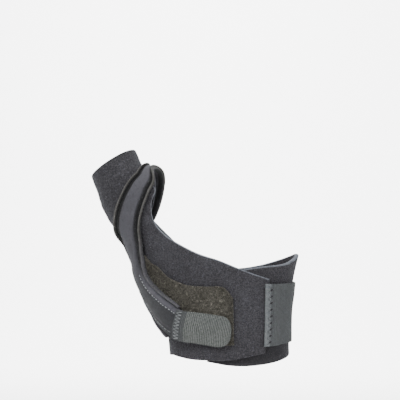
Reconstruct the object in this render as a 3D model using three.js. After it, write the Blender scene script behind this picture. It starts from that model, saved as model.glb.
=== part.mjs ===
// Thumb spica splint for a right hand, as worn: millimetres, +Z to the fingers, back of the hand at -Y, thumb at -X.
// Every piece is a sheet that follows one smooth hand form at its own height above the form.
import * as THREE from "three";

// Sizes of the form that the cloth follows, the widths of its blends and how far a fold is rounded for the layers.
const HAND_BREADTH = 80;
const WRIST_DEPTH = 44;
const REACH = 100;
const THUMB_THICKNESS = 26;
const THUMB_BLEND = 13;
const WEB_BLEND = 15;
const FOLD_ROUNDING = 4.5;
const SECTION_POWER = 2.3;

// Thicknesses of the layers and the gap that is kept between two of them.
const CLOTH = 2.4;
const STRAP_CLOTH = 2;
const HOOK_TAPE = 1.1;
const LOOP_TAPE = 1.2;
const LAYER_GAP = 0.6;
const SEAM_GAP = 0.4;

// Sizes of the strap, its bindings and the hook tabs.
const STRAP_WIDTH = 18.4;
const BINDING_WIDTH = 1.7;
const BINDING_HEIGHT = 2.6;
const BINDING_GAP = 0.6;
// Extra gap of the bindings where the strap folds over the web, at a row of the strap's path.
const FOLD_GAP = { extra: 0.6, row: 3 };
const SLEEVE_RIM_TILT = 2.6;

// Where the flap climbs onto the under layer, as shares of half the hand's breadth.
const CLIMB = { start: -0.76, end: -0.4 };
const UNDER_END = -0.33;

// Numbers of cells along and across the sheets.
const CELL = { seam: 20, wrap: 3, flap: 2, wrapRows: 17, crotch: 9, sleeveRows: 10, strap: 46, strapAcross: 4 };

const HALF_BREADTH = HAND_BREADTH / 2;
const HALF_DEPTH = WRIST_DEPTH / 2;
const THUMB_RADIUS = THUMB_THICKNESS / 2;

const COLOURS = {
  cloth: 0x46464c,
  sleeve: 0x424247,
  strap: 0x5f5f67,
  binding: 0x6b6a68,
  loop: 0x47463e,
  hook: 0x78807c,
  closure: 0x646d6c,
};

// Sections of the hand and wrist. z: share of the reach. centreX, halfX: shares of half the breadth.
// centreY, halfY: shares of half the wrist's depth.
const HAND_SECTIONS = [
  { z: -0.4, centreX: 0.005, centreY: 0.0, halfX: 0.82, halfY: 1.02 },
  { z: -0.15, centreX: 0.005, centreY: 0.0, halfX: 0.825, halfY: 1.0 },
  { z: 0.0, centreX: 0.005, centreY: 0.01, halfX: 0.82, halfY: 0.99 },
  { z: 0.2, centreX: 0.01, centreY: 0.0, halfX: 0.84, halfY: 0.96 },
  { z: 0.4, centreX: 0.02, centreY: -0.02, halfX: 0.91, halfY: 0.89 },
  { z: 0.6, centreX: 0.04, centreY: -0.06, halfX: 0.995, halfY: 0.78 },
  { z: 0.9, centreX: 0.08, centreY: -0.07, halfX: 1.08, halfY: 0.66 },
  { z: 1.3, centreX: 0.08, centreY: -0.07, halfX: 1.08, halfY: 0.62 },
];

// Balls along the thumb. x, y, z: shares of half the breadth, half the depth and the reach. r: share of the radius.
const THUMB_BALLS = [
  { x: -0.42, y: 0.16, z: 0.1, r: 1.18 },
  { x: -0.7, y: 0.3, z: 0.27, r: 1.3 },
  { x: -0.82, y: 0.38, z: 0.38, r: 1.39 },
  { x: -0.89, y: 0.4, z: 0.47, r: 1.3 },
  { x: -1.14, y: 0.38, z: 0.64, r: 1.1 },
  { x: -1.45, y: 0.45, z: 0.775, r: 1.14 },
  { x: -1.6, y: 0.54, z: 0.89, r: 1.03 },
  { x: -1.73, y: 0.66, z: 1.02, r: 0.96 },
  { x: -1.88, y: 0.8, z: 1.2, r: 0.9 },
];
// The fold of skin between the thumb and the hand, in the same shares.
const WEB = { x: -1.14, y: 0.25, z: 0.797, r: 0.9 };
// The highest point of the sleeve's edge over the web.
const CROTCH = { x: -1.16, y: 0.3, z: 0.93 };

// The wrap's columns, from the under layer's end round the hand to the flap's end.
// Foot and top of each column: x, y, z as shares of half the breadth, half the depth and the reach.
// waist: how far the column bends to the thumb above its middle, as a share of half the breadth.
const UNDER_COLUMNS = [
  { footX: UNDER_END, footY: -1.0, footZ: -0.15, topX: UNDER_END, topY: -1.0, topZ: 0.365, waist: 0 },
  { footX: 0.0, footY: -1.0, footZ: -0.172, topX: 0.05, topY: -1.0, topZ: 0.382, waist: 0 },
  { footX: 0.3, footY: -0.93, footZ: -0.174, topX: 0.44, topY: -0.88, topZ: 0.406, waist: 0 },
  { footX: 0.62, footY: -0.7, footZ: -0.157, topX: 0.78, topY: -0.55, topZ: 0.425, waist: 0 },
  { footX: 0.82, footY: 0.0, footZ: -0.118, topX: 0.98, topY: 0.0, topZ: 0.48, waist: 0 },
  { footX: 0.65, footY: 0.65, footZ: -0.135, topX: 0.8, topY: 0.6, topZ: 0.445, waist: 0 },
  { footX: 0.32, footY: 0.95, footZ: -0.14, topX: 0.4, topY: 0.9, topZ: 0.4, waist: 0 },
  { footX: 0.0, footY: 1.0, footZ: -0.14, topX: 0.0, topY: 0.95, topZ: 0.385, waist: 0 },
  { footX: -0.25, footY: 0.95, footZ: -0.14, topX: -0.4, topY: 1.0, topZ: 0.42, waist: 0 },
  { footX: -0.45, footY: 0.85, footZ: -0.138, topX: -0.78, topY: 1.1, topZ: 0.52, waist: 0 },
];
const SEAM_COLUMNS = [
  { footX: -0.58, footY: 0.75, footZ: -0.135, topX: -1.2, topY: 1.0, topZ: 0.7, waist: 0 },
  { footX: -0.7, footY: 0.5, footZ: -0.132, topX: -1.42, topY: 0.95, topZ: 0.66, waist: 0 },
  { footX: -0.79, footY: 0.1, footZ: -0.125, topX: -1.56, topY: 0.42, topZ: 0.575, waist: 0 },
  { footX: -0.76, footY: -0.3, footZ: -0.118, topX: -1.48, topY: -0.08, topZ: 0.68, waist: 0 },
  { footX: -0.7, footY: -0.5, footZ: -0.125, topX: -1.34, topY: -0.15, topZ: 0.84, waist: -0.04 },
  { footX: -0.64, footY: -0.62, footZ: -0.13, topX: -1.19, topY: -0.14, topZ: 0.9, waist: -0.165 },
];
const FLAP_COLUMNS = [
  { footX: -0.6, footY: -0.72, footZ: -0.133, topX: -1.09, topY: -0.3, topZ: 0.86, waist: -0.2 },
  { footX: -0.56, footY: -0.78, footZ: -0.135, topX: -1.14, topY: -0.36, topZ: 0.8, waist: -0.13 },
  { footX: -0.51, footY: -0.82, footZ: -0.137, topX: -1.15, topY: -0.42, topZ: 0.735, waist: -0.06 },
  { footX: -0.45, footY: -0.86, footZ: -0.139, topX: -1.1, topY: -0.5, topZ: 0.665, waist: -0.015 },
  { footX: -0.37, footY: -0.9, footZ: -0.14, topX: -0.94, topY: -0.68, topZ: 0.594, waist: 0 },
  { footX: -0.25, footY: -0.95, footZ: -0.141, topX: -0.7, topY: -0.82, topZ: 0.532, waist: 0 },
  { footX: -0.1, footY: -1.0, footZ: -0.142, topX: -0.4, topY: -0.9, topZ: 0.477, waist: 0 },
  { footX: 0.05, footY: -1.0, footZ: -0.136, topX: -0.15, topY: -0.92, topZ: 0.443, waist: 0 },
  { footX: 0.23, footY: -0.96, footZ: -0.122, topX: 0.165, topY: -0.92, topZ: 0.39, waist: 0 },
  { footX: 0.475, footY: -0.85, footZ: -0.1, topX: 0.54, topY: -0.8, topZ: 0.335, waist: 0 },
];

// The strap's middle line, from its sewn end on the palm side. half: share of half the strap's width.
// lift: 0 on the cloth, 1 on the loop patch.
const STRAP_PATH = [
  { x: -1.34, y: 1.0, z: 0.66, half: 0.56, lift: 0 },
  { x: -1.26, y: 0.95, z: 0.77, half: 0.52, lift: 0.1 },
  { x: -1.21, y: 0.65, z: 0.86, half: 0.38, lift: 0.2 },
  { x: -1.19, y: 0.28, z: 0.905, half: 0.3, lift: 0.25 },
  { x: -1.215, y: -0.08, z: 0.89, half: 0.41, lift: 0.2 },
  { x: -1.31, y: -0.2, z: 0.855, half: 0.55, lift: 0.1 },
  { x: -1.41, y: -0.2, z: 0.77, half: 0.61, lift: 0 },
  { x: -1.46, y: -0.14, z: 0.68, half: 0.65, lift: 0.15 },
  { x: -1.45, y: -0.04, z: 0.59, half: 0.71, lift: 0.6 },
  { x: -1.41, y: 0.07, z: 0.49, half: 0.78, lift: 1 },
  { x: -1.35, y: 0.12, z: 0.39, half: 0.86, lift: 1 },
  { x: -1.26, y: 0.05, z: 0.285, half: 0.93, lift: 1 },
  { x: -1.12, y: -0.2, z: 0.185, half: 0.97, lift: 1 },
  { x: -0.925, y: -0.57, z: 0.113, half: 0.95, lift: 1 },
  { x: -0.75, y: -0.76, z: 0.075, half: 0.92, lift: 1 },
  { x: -0.42, y: -0.97, z: 0.049, half: 0.97, lift: 1 },
  { x: -0.1, y: -1.0, z: 0.028, half: 1, lift: 1 },
  { x: 0.1, y: -1.0, z: 0.022, half: 1, lift: 1 },
];
const STRAP_END = -0.7;
const BINDING_END = -0.79;
const HOOK_TAB = { start: -0.8, end: 0.02, cells: 17, roundLength: 7.5, drop: 5 };
// How far the tab's sewn edge leans, in rows of the path, and over how many cells the lean fades.
const LEAN = { rows: 0.4, fade: 5 };

// Edges of the loop patch, from the thumb side to the flap's end.
const LOOP_PATCH_COLUMNS = [
  { lowX: -1.3, lowY: -0.05, lowZ: 0.41, topX: -1.25, topY: -0.25, topZ: 0.47 },
  { lowX: -1.22, lowY: -0.1, lowZ: 0.31, topX: -1.155, topY: -0.35, topZ: 0.432 },
  { lowX: -1.08, lowY: -0.25, lowZ: 0.21, topX: -1.015, topY: -0.5, topZ: 0.396 },
  { lowX: -0.92, lowY: -0.5, lowZ: 0.11, topX: -0.87, topY: -0.65, topZ: 0.34 },
  { lowX: -0.7, lowY: -0.78, lowZ: 0.03, topX: -0.615, topY: -0.85, topZ: 0.3 },
  { lowX: -0.4, lowY: -0.95, lowZ: -0.03, topX: -0.35, topY: -0.95, topZ: 0.29 },
  { lowX: -0.1, lowY: -1.0, lowZ: -0.05, topX: -0.095, topY: -0.97, topZ: 0.286 },
  { lowX: 0.055, lowY: -1.0, lowZ: -0.05, topX: 0.043, topY: -0.97, topZ: 0.224 },
];
const LOOP_CELLS = { along: 24, across: 6 };

// The closure tab, from its sewn edge on the flap round the little-finger side.
const CLOSURE_COLUMNS = [
  { lowX: 0.445, lowY: -0.85, lowZ: -0.062, topX: 0.475, topY: -0.85, topZ: 0.307 },
  { lowX: 0.64, lowY: -0.7, lowZ: -0.055, topX: 0.7, topY: -0.7, topZ: 0.308 },
  { lowX: 0.78, lowY: -0.35, lowZ: -0.045, topX: 0.83, topY: -0.35, topZ: 0.314 },
  { lowX: 0.8, lowY: 0.1, lowZ: -0.04, topX: 0.86, topY: 0.1, topZ: 0.318 },
  { lowX: 0.72, lowY: 0.5, lowZ: -0.04, topX: 0.78, topY: 0.5, topZ: 0.318 },
  { lowX: 0.55, lowY: 0.75, lowZ: -0.036, topX: 0.6, topY: 0.75, topZ: 0.314 },
  { lowX: 0.44, lowY: 0.86, lowZ: 0.01, topX: 0.47, topY: 0.86, topZ: 0.27 },
];
const CLOSURE_CELLS = { along: 16, across: 5, dropStart: 0.57, dropEnd: 0.71 };

const clamp01 = (t) => Math.min(1, Math.max(0, t));
const smooth = (t) => clamp01(t) ** 2 * (3 - 2 * clamp01(t));
const lerp = (a, b, t) => a + (b - a) * t;

// One value of a table at a place between its rows, on a smooth curve through them.
function between(rows, key, place) {
  const i = Math.min(rows.length - 2, Math.max(0, Math.floor(place)));
  const t = place - i;
  const p1 = rows[i][key];
  const p2 = rows[i + 1][key];
  const p0 = i > 0 ? rows[i - 1][key] : 2 * p1 - p2;
  const p3 = i + 2 < rows.length ? rows[i + 2][key] : 2 * p2 - p1;
  const a = 2 * p1;
  const b = p2 - p0;
  const c = 2 * p0 - 5 * p1 + 4 * p2 - p3;
  const d = 3 * p1 - p0 - 3 * p2 + p3;
  return 0.5 * (a + b * t + c * t * t + d * t * t * t);
}

const scaled = (x, y, z) => new THREE.Vector3(x * HALF_BREADTH, y * HALF_DEPTH, z * REACH);

function tablePoint(rows, place, prefix) {
  const [x, y, z] = ["X", "Y", "Z"].map((axis) =>
    between(rows, prefix ? prefix + axis : axis.toLowerCase(), place),
  );
  return scaled(x, y, z);
}

// The hand's section at a height, found between the rows of its table.
function handDistance(p) {
  const height = p.z / REACH;
  let row = 0;
  while (row < HAND_SECTIONS.length - 2 && HAND_SECTIONS[row + 1].z < height) row += 1;
  const span = HAND_SECTIONS[row + 1].z - HAND_SECTIONS[row].z;
  const place = row + clamp01((height - HAND_SECTIONS[row].z) / span);
  const dx = p.x - between(HAND_SECTIONS, "centreX", place) * HALF_BREADTH;
  const dy = p.y - between(HAND_SECTIONS, "centreY", place) * HALF_DEPTH;
  const ax = Math.abs(dx) / (between(HAND_SECTIONS, "halfX", place) * HALF_BREADTH);
  const ay = Math.abs(dy) / (between(HAND_SECTIONS, "halfY", place) * HALF_DEPTH);
  const q = Math.max(1e-6, (ax ** SECTION_POWER + ay ** SECTION_POWER) ** (1 / SECTION_POWER));
  return Math.hypot(dx, dy) * (1 - 1 / q);
}

const THUMB_STEPS = 4;
const thumbLine = [];
for (let k = 0; k <= (THUMB_BALLS.length - 1) * THUMB_STEPS; k += 1) {
  const place = k / THUMB_STEPS;
  const centre = tablePoint(THUMB_BALLS, place, "");
  thumbLine.push({ centre, r: between(THUMB_BALLS, "r", place) * THUMB_RADIUS });
}

function thumbDistance(p) {
  let best = Infinity;
  for (let k = 0; k + 1 < thumbLine.length; k += 1) {
    const a = thumbLine[k].centre;
    const b = thumbLine[k + 1].centre;
    const along = new THREE.Vector3().subVectors(b, a);
    const t = clamp01(new THREE.Vector3().subVectors(p, a).dot(along) / along.lengthSq());
    const foot = new THREE.Vector3().copy(a).addScaledVector(along, t);
    best = Math.min(best, foot.distanceTo(p) - lerp(thumbLine[k].r, thumbLine[k + 1].r, t));
  }
  return best;
}

function blend(a, b, width) {
  const h = Math.max(width - Math.abs(a - b), 0) / width;
  return Math.min(a, b) - (h * h * width) / 4;
}

const webCentre = scaled(WEB.x, WEB.y, WEB.z);

// Height above the form: the hand, the thumb and the web, blended where they meet.
function formDistance(p) {
  const web = webCentre.distanceTo(p) - WEB.r * THUMB_RADIUS;
  return blend(blend(handDistance(p), thumbDistance(p), THUMB_BLEND), web, WEB_BLEND);
}

function formNormal(p, step = 0.05) {
  const n = new THREE.Vector3();
  for (const axis of ["x", "y", "z"]) {
    const ahead = p.clone();
    const behind = p.clone();
    ahead[axis] += step;
    behind[axis] -= step;
    n[axis] = (formDistance(ahead) - formDistance(behind)) / (2 * step);
  }
  return n;
}

// The point of the form nearest to a guide point.
function onForm(guide) {
  const p = guide.clone();
  for (let k = 0; k < 12; k += 1) {
    const n = formNormal(p);
    p.addScaledVector(n, -formDistance(p) / Math.max(n.lengthSq(), 1e-4));
  }
  return p;
}

// The point of the form straight in front of a guide point, as seen from the back of the hand.
function facing(guide) {
  const p = guide.clone();
  p.y = -2 * WRIST_DEPTH;
  for (let k = 0; k < 60; k += 1) p.y += formDistance(p);
  return p;
}

// A closed sheet on the form: grid[i][j] are points of the form, under and over their heights above it.
function sheet(grid, under, over, closedAlong = false) {
  const columns = grid.length;
  const rows = grid[0].length;
  const positions = [];
  for (const height of [under, over]) {
    grid.forEach((column, i) =>
      column.forEach((point, j) => {
        const n = formNormal(point, FOLD_ROUNDING).normalize();
        positions.push(...point.clone().addScaledVector(n, height(point, i, j)).toArray());
      }),
    );
  }
  const index = [];
  const at = (side, i, j) => side * columns * rows + (i % columns) * rows + j;
  const quad = (a, b, c, d) => index.push(a, b, c, a, c, d);
  const cells = closedAlong ? columns : columns - 1;
  for (let i = 0; i < cells; i += 1) {
    for (let j = 0; j + 1 < rows; j += 1) {
      quad(at(1, i, j), at(1, i + 1, j), at(1, i + 1, j + 1), at(1, i, j + 1));
      quad(at(0, i, j), at(0, i, j + 1), at(0, i + 1, j + 1), at(0, i + 1, j));
    }
    quad(at(0, i, 0), at(0, i + 1, 0), at(1, i + 1, 0), at(1, i, 0));
    quad(at(1, i, rows - 1), at(1, i + 1, rows - 1), at(0, i + 1, rows - 1), at(0, i, rows - 1));
  }
  if (!closedAlong) {
    const last = columns - 1;
    for (let j = 0; j + 1 < rows; j += 1) {
      quad(at(0, 0, j), at(1, 0, j), at(1, 0, j + 1), at(0, 0, j + 1));
      quad(at(1, last, j), at(0, last, j), at(0, last, j + 1), at(1, last, j + 1));
    }
  }
  const geometry = new THREE.BufferGeometry();
  geometry.setAttribute("position", new THREE.Float32BufferAttribute(positions, 3));
  geometry.setIndex(index);
  geometry.computeVertexNormals();
  return geometry;
}

// Points from a foot to a head along the form, bent sideways by the waist at three quarters of the way.
function columnOnForm(foot, head, cells, landing = onForm, waist = 0) {
  const column = [];
  for (let j = 0; j <= cells; j += 1) {
    const t = j / cells;
    const guide = new THREE.Vector3().lerpVectors(foot, head, t);
    guide.x += (waist * HALF_BREADTH * t ** 3 * (1 - t)) / (0.75 ** 3 * 0.25);
    column.push(landing(guide));
  }
  return column;
}

// Height of the flap above the form, where it climbs onto the under layer.
const climb = (p) =>
  smooth((p.x / HALF_BREADTH - CLIMB.start) / (CLIMB.end - CLIMB.start)) * (CLOTH + LAYER_GAP);

// The seam's points, which the wrap and the sleeve share, each with the way across it.
function seamPoint(place, side) {
  const here = onForm(tablePoint(SEAM_COLUMNS, place, "top"));
  const ahead = onForm(tablePoint(SEAM_COLUMNS, Math.min(place + 0.05, SEAM_COLUMNS.length - 1), "top"));
  const behind = onForm(tablePoint(SEAM_COLUMNS, Math.max(place - 0.05, 0), "top"));
  const along = ahead.sub(behind);
  const across = along.cross(formNormal(here)).normalize();
  return onForm(here.clone().addScaledVector(across, (-side * SEAM_GAP) / 2));
}

function mainWrap() {
  const grid = [];
  const tops = [];
  const addColumn = (rows, place, head, over) => {
    const landing = over ? facing : onForm;
    const foot = landing(tablePoint(rows, place, "foot"));
    const waist = between(rows, "waist", place);
    grid.push(columnOnForm(foot, head, CELL.wrapRows, landing, waist));
    tops.push(over);
  };
  const count = (rows) => (rows.length - 1) * CELL.wrap;
  for (let k = 0; k < count(UNDER_COLUMNS); k += 1) {
    const place = k / CELL.wrap;
    addColumn(UNDER_COLUMNS, place, onForm(tablePoint(UNDER_COLUMNS, place, "top")), 0);
  }
  const bridge = [UNDER_COLUMNS.at(-1), SEAM_COLUMNS[0]];
  for (let k = 0; k < CELL.wrap; k += 1) {
    const place = k / CELL.wrap;
    addColumn(bridge, place, onForm(tablePoint(bridge, place, "top")), 0);
  }
  for (let k = 0; k <= CELL.seam; k += 1) {
    const place = (k / CELL.seam) * (SEAM_COLUMNS.length - 1);
    addColumn(SEAM_COLUMNS, place, seamPoint(place, -1), 0);
  }
  const flap = [SEAM_COLUMNS.at(-1), ...FLAP_COLUMNS];
  for (let k = 1; k <= (flap.length - 1) * CELL.flap; k += 1) {
    const place = k / CELL.flap;
    addColumn(flap, place, facing(tablePoint(flap, place, "top")), 1);
  }
  const under = (p, i) => (tops[i] ? climb(p) : 0);
  return sheet(grid, under, (p, i) => under(p, i) + CLOTH);
}

function thumbSleeve() {
  const last = thumbLine[thumbLine.length - 1 - THUMB_STEPS];
  const before = thumbLine[thumbLine.length - 1 - 2 * THUMB_STEPS];
  const axis = new THREE.Vector3().subVectors(last.centre, before.centre).normalize();
  const side = new THREE.Vector3(0, 1, 0).cross(axis).normalize();
  const back = new THREE.Vector3().crossVectors(side, axis).normalize();
  const loop = [];
  for (let k = 0; k <= CELL.seam; k += 1) {
    loop.push(seamPoint((k / CELL.seam) * (SEAM_COLUMNS.length - 1), 1));
  }
  const start = loop[0];
  const end = loop.at(-1);
  const rise = scaled(CROTCH.x, CROTCH.y, CROTCH.z).sub(new THREE.Vector3().lerpVectors(end, start, 0.5));
  for (let k = 1; k < CELL.crotch; k += 1) {
    const guide = new THREE.Vector3().lerpVectors(end, start, k / CELL.crotch);
    guide.addScaledVector(rise, Math.sin((Math.PI * k) / CELL.crotch));
    loop.push(onForm(guide));
  }
  const walked = [0];
  loop.forEach((foot, k) => walked.push(walked[k] + foot.distanceTo(loop[(k + 1) % loop.length])));
  const out = start.clone().sub(before.centre);
  const startAngle = Math.atan2(out.dot(back), out.dot(side));
  const next = loop[3].clone().sub(before.centre);
  const nextAngle = Math.atan2(next.dot(back), next.dot(side));
  const turn = Math.sign(Math.sin(nextAngle - startAngle));
  const grid = loop.map((foot, k) => {
    const angle = startAngle + (turn * 2 * Math.PI * walked[k]) / walked.at(-1);
    const tilt = SLEEVE_RIM_TILT * Math.cos(angle);
    const head = last.centre.clone().addScaledVector(axis, tilt);
    head.addScaledVector(side, Math.cos(angle) * last.r).addScaledVector(back, Math.sin(angle) * last.r);
    return columnOnForm(foot, onForm(head), CELL.sleeveRows);
  });
  return sheet(grid, () => 0, () => CLOTH, true);
}

// Places along the strap's path where its x passes a share of the breadth, near its end.
function strapPlace(share) {
  let low = STRAP_PATH.length - 8;
  let high = STRAP_PATH.length - 1;
  for (let k = 0; k < 40; k += 1) {
    const middle = (low + high) / 2;
    if (between(STRAP_PATH, "x", middle) < share) low = middle;
    else high = middle;
  }
  return low;
}

// Points across the strap at a place along it, walked sideways over the form from its middle line.
function acrossStrap(place, offsets) {
  const here = onForm(tablePoint(STRAP_PATH, place, ""));
  const ahead = onForm(tablePoint(STRAP_PATH, Math.min(place + 0.1, STRAP_PATH.length - 1), ""));
  const behind = onForm(tablePoint(STRAP_PATH, Math.max(place - 0.1, 0), ""));
  const along = ahead.sub(behind).normalize();
  return offsets.map((offset) => {
    const steps = Math.max(1, Math.ceil(Math.abs(offset)));
    let p = here;
    let way = along;
    for (let k = 0; k < steps; k += 1) {
      const across = new THREE.Vector3().crossVectors(formNormal(p).normalize(), way).normalize();
      p = onForm(p.clone().addScaledVector(across, offset / steps));
      way = way.clone().projectOnPlane(formNormal(p).normalize()).normalize();
    }
    return p;
  });
}

// Points across the strap, of which those on the thumb side lean ahead.
function leaningAcross(place, half, lean) {
  return strapPlaces(-half, half, CELL.strapAcross).map((offset) => {
    const ahead = (lean * LEAN.rows * (1 - offset / half)) / 2;
    return acrossStrap(place + ahead, [offset])[0];
  });
}

const strapHalf = (place) => (between(STRAP_PATH, "half", place) * STRAP_WIDTH) / 2;

function strapUnder(p, place) {
  const lift = clamp01(between(STRAP_PATH, "lift", place)) * (LOOP_TAPE + LAYER_GAP);
  const onFlap = place > STRAP_PATH.length / 2 ? climb(p) : 0;
  return onFlap + CLOTH + LAYER_GAP + lift;
}

function strapPlaces(start, end, cells) {
  return Array.from({ length: cells + 1 }, (_, k) => lerp(start, end, k / cells));
}

function thumbStrap() {
  const places = strapPlaces(0, strapPlace(STRAP_END), CELL.strap);
  const grid = places.map((place, i) => {
    const half = strapHalf(place);
    const lean = clamp01(1 - (CELL.strap - i) / LEAN.fade);
    return leaningAcross(place, half, lean);
  });
  const under = (p, i) => strapUnder(p, places[i]);
  return sheet(grid, under, (p, i) => under(p, i) + STRAP_CLOTH);
}

function strapBinding(sign) {
  const places = strapPlaces(0, strapPlace(BINDING_END), CELL.strap);
  const grid = places.map((place) => {
    const fold = FOLD_GAP.extra * Math.exp(-((place - FOLD_GAP.row) ** 2) / 2);
    const inner = strapHalf(place) + BINDING_GAP + fold;
    const offsets = [inner, inner + BINDING_WIDTH].map((offset) => sign * offset);
    if (sign < 0) offsets.reverse();
    return acrossStrap(place, offsets);
  });
  const under = (p, i) => strapUnder(p, places[i]);
  return sheet(grid, under, (p, i) => under(p, i) + BINDING_HEIGHT);
}

function strapHookTab() {
  const start = strapPlace(HOOK_TAB.start);
  const end = strapPlace(HOOK_TAB.end);
  const sewnEnd = strapPlace(STRAP_END) + LEAN.rows;
  const tip = onForm(tablePoint(STRAP_PATH, end, ""));
  const places = strapPlaces(start, end, HOOK_TAB.cells);
  const grid = places.map((place, i) => {
    const toTip = onForm(tablePoint(STRAP_PATH, place, "")).distanceTo(tip);
    const inRound = clamp01(1 - toTip / HOOK_TAB.roundLength);
    const half = strapHalf(place) * Math.max(0.34, (1 - inRound ** 2.6) ** (1 / 2.6));
    return leaningAcross(place, half, clamp01(1 - i / LEAN.fade));
  });
  const edge = onForm(tablePoint(STRAP_PATH, sewnEnd, ""));
  const under = (p, i) => {
    const past = places[i] > sewnEnd ? onForm(tablePoint(STRAP_PATH, places[i], "")).distanceTo(edge) : 0;
    const onStrap = 1 - smooth((past - LAYER_GAP - 0.4) / HOOK_TAB.drop);
    return strapUnder(p, places[i]) + onStrap * (STRAP_CLOTH + LAYER_GAP);
  };
  return sheet(grid, under, (p, i) => under(p, i) + HOOK_TAPE);
}

function patchGrid(rows, along, across) {
  return Array.from({ length: along + 1 }, (_, k) => {
    const place = (k / along) * (rows.length - 1);
    const foot = onForm(tablePoint(rows, place, "low"));
    return columnOnForm(foot, onForm(tablePoint(rows, place, "top")), across);
  });
}

function loopPatch() {
  const grid = patchGrid(LOOP_PATCH_COLUMNS, LOOP_CELLS.along, LOOP_CELLS.across);
  const under = (p) => climb(p) + CLOTH + LAYER_GAP;
  return sheet(grid, under, (p) => under(p) + LOOP_TAPE);
}

function closureHookTab() {
  const grid = patchGrid(CLOSURE_COLUMNS, CLOSURE_CELLS.along, CLOSURE_CELLS.across);
  const under = (p) => {
    const share = p.x / HALF_BREADTH;
    const past = (share - CLOSURE_CELLS.dropStart) / (CLOSURE_CELLS.dropEnd - CLOSURE_CELLS.dropStart);
    const onFlap = p.y < 0 ? 1 - smooth(past) : 0;
    return CLOTH + LAYER_GAP + onFlap * (CLOTH + LAYER_GAP);
  };
  return sheet(grid, under, (p) => under(p) + HOOK_TAPE);
}

function piece(name, geometry, color, roughness) {
  const mesh = new THREE.Mesh(geometry, new THREE.MeshStandardMaterial({ color, roughness, metalness: 0 }));
  mesh.name = name;
  return mesh;
}

const splint = new THREE.Group();
splint.add(
  piece("main_wrap", mainWrap(), COLOURS.cloth, 0.95),
  piece("thumb_sleeve", thumbSleeve(), COLOURS.sleeve, 0.95),
  piece("thumb_strap", thumbStrap(), COLOURS.strap, 0.85),
  piece("strap_binding_hand_side", strapBinding(1), COLOURS.binding, 0.85),
  piece("strap_binding_thumb_side", strapBinding(-1), COLOURS.binding, 0.85),
  piece("strap_hook_tab", strapHookTab(), COLOURS.hook, 0.8),
  piece("closure_hook_tab", closureHookTab(), COLOURS.closure, 0.8),
  piece("loop_patch", loopPatch(), COLOURS.loop, 1),
);

export default splint;
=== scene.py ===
"""Thumb spica splint for a right hand, in its worn form.

Every soft piece is a sheet that follows one smooth form, drawn in millimetres from tables of sections.
"""

import functools
import math

import bpy
import numpy as np
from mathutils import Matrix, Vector


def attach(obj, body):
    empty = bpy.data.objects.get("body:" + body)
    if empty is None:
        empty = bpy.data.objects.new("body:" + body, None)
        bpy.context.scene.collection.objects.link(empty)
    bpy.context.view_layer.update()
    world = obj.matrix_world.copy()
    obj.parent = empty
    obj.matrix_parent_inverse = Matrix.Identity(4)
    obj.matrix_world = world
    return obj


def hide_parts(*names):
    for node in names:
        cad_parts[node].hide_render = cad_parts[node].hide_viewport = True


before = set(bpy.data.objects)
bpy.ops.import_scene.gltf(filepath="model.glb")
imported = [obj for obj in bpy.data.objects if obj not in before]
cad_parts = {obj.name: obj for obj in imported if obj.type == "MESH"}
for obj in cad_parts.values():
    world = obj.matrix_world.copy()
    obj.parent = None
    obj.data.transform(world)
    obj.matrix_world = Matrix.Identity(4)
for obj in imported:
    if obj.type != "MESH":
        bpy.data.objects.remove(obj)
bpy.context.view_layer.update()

bl_info = {
    "name": "Thumb Spica Splint",
    "version": (1, 0, 0),
    "blender": (4, 5, 0),
    "location": "View3D > Sidebar > Splint",
    "description": "Builds a soft thumb spica splint piece by piece",
    "category": "Add Mesh",
}

MM = 0.001

# Sizes of the form, in millimetres.
HALF_BREADTH = 40.0
HALF_DEPTH = 22.0
REACH = 100.0
THUMB_RADIUS = 13.0
THUMB_BLEND = 13.0
WEB_BLEND = 15.0
FOLD_ROUNDING = 4.5
SECTION_POWER = 2.3
SLEEVE_RIM_TILT = 2.6
SEAM_GAP = 0.12

# Layers and how they lie on each other, in millimetres.
CLOTH = 2.4
STRAP_CLOTH = 2.0
HOOK_TAPE = 1.1
LOOP_TAPE = 1.2
LAYER_GAP = 0.6
SEAT = 0.45
STRAP_WIDTH = 18.4
BINDING_WIDTH = 1.35
BINDING_HEIGHT = 2.6
BINDING_GAP = 0.6
FOLD_EXTRA = 0.6
TAB_ROUND = 7.5
TAB_DROP = 5.0

# Places across the hand, as shares of its half breadth from the middle.
UNDER_END = -0.33
CLIMB_START = -0.76
CLIMB_END = -0.4
STRAP_END = -0.7
BINDING_END = -0.79
TAB_START = -0.8
TAB_END = 0.02
CLOSURE_DROP = (0.57, 0.71)

# The row of the strap's path where it folds over the web.
FOLD_ROW = 3

# How far the slanting seam between the strap and its tab leans, in rows of the strap's path.
LEAN_ROWS = 0.4

# Shares of the strap grid's half width: the cloth, then the flange that runs under the bindings.
STRAP_BODY = 0.82
FLANGE_EDGE = np.array([0.86, 0.9, 0.95, 0.98, 1.0])

# The waist bends columns most at three quarters of their height, where its curve has this value.
WAIST_PEAK = 0.75**3 * 0.25


def table(names, *rows):
    """Columns of a table by name, as arrays."""
    values = np.array(rows, float)
    return {name: values[:, k] for k, name in enumerate(names.split())}


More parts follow.
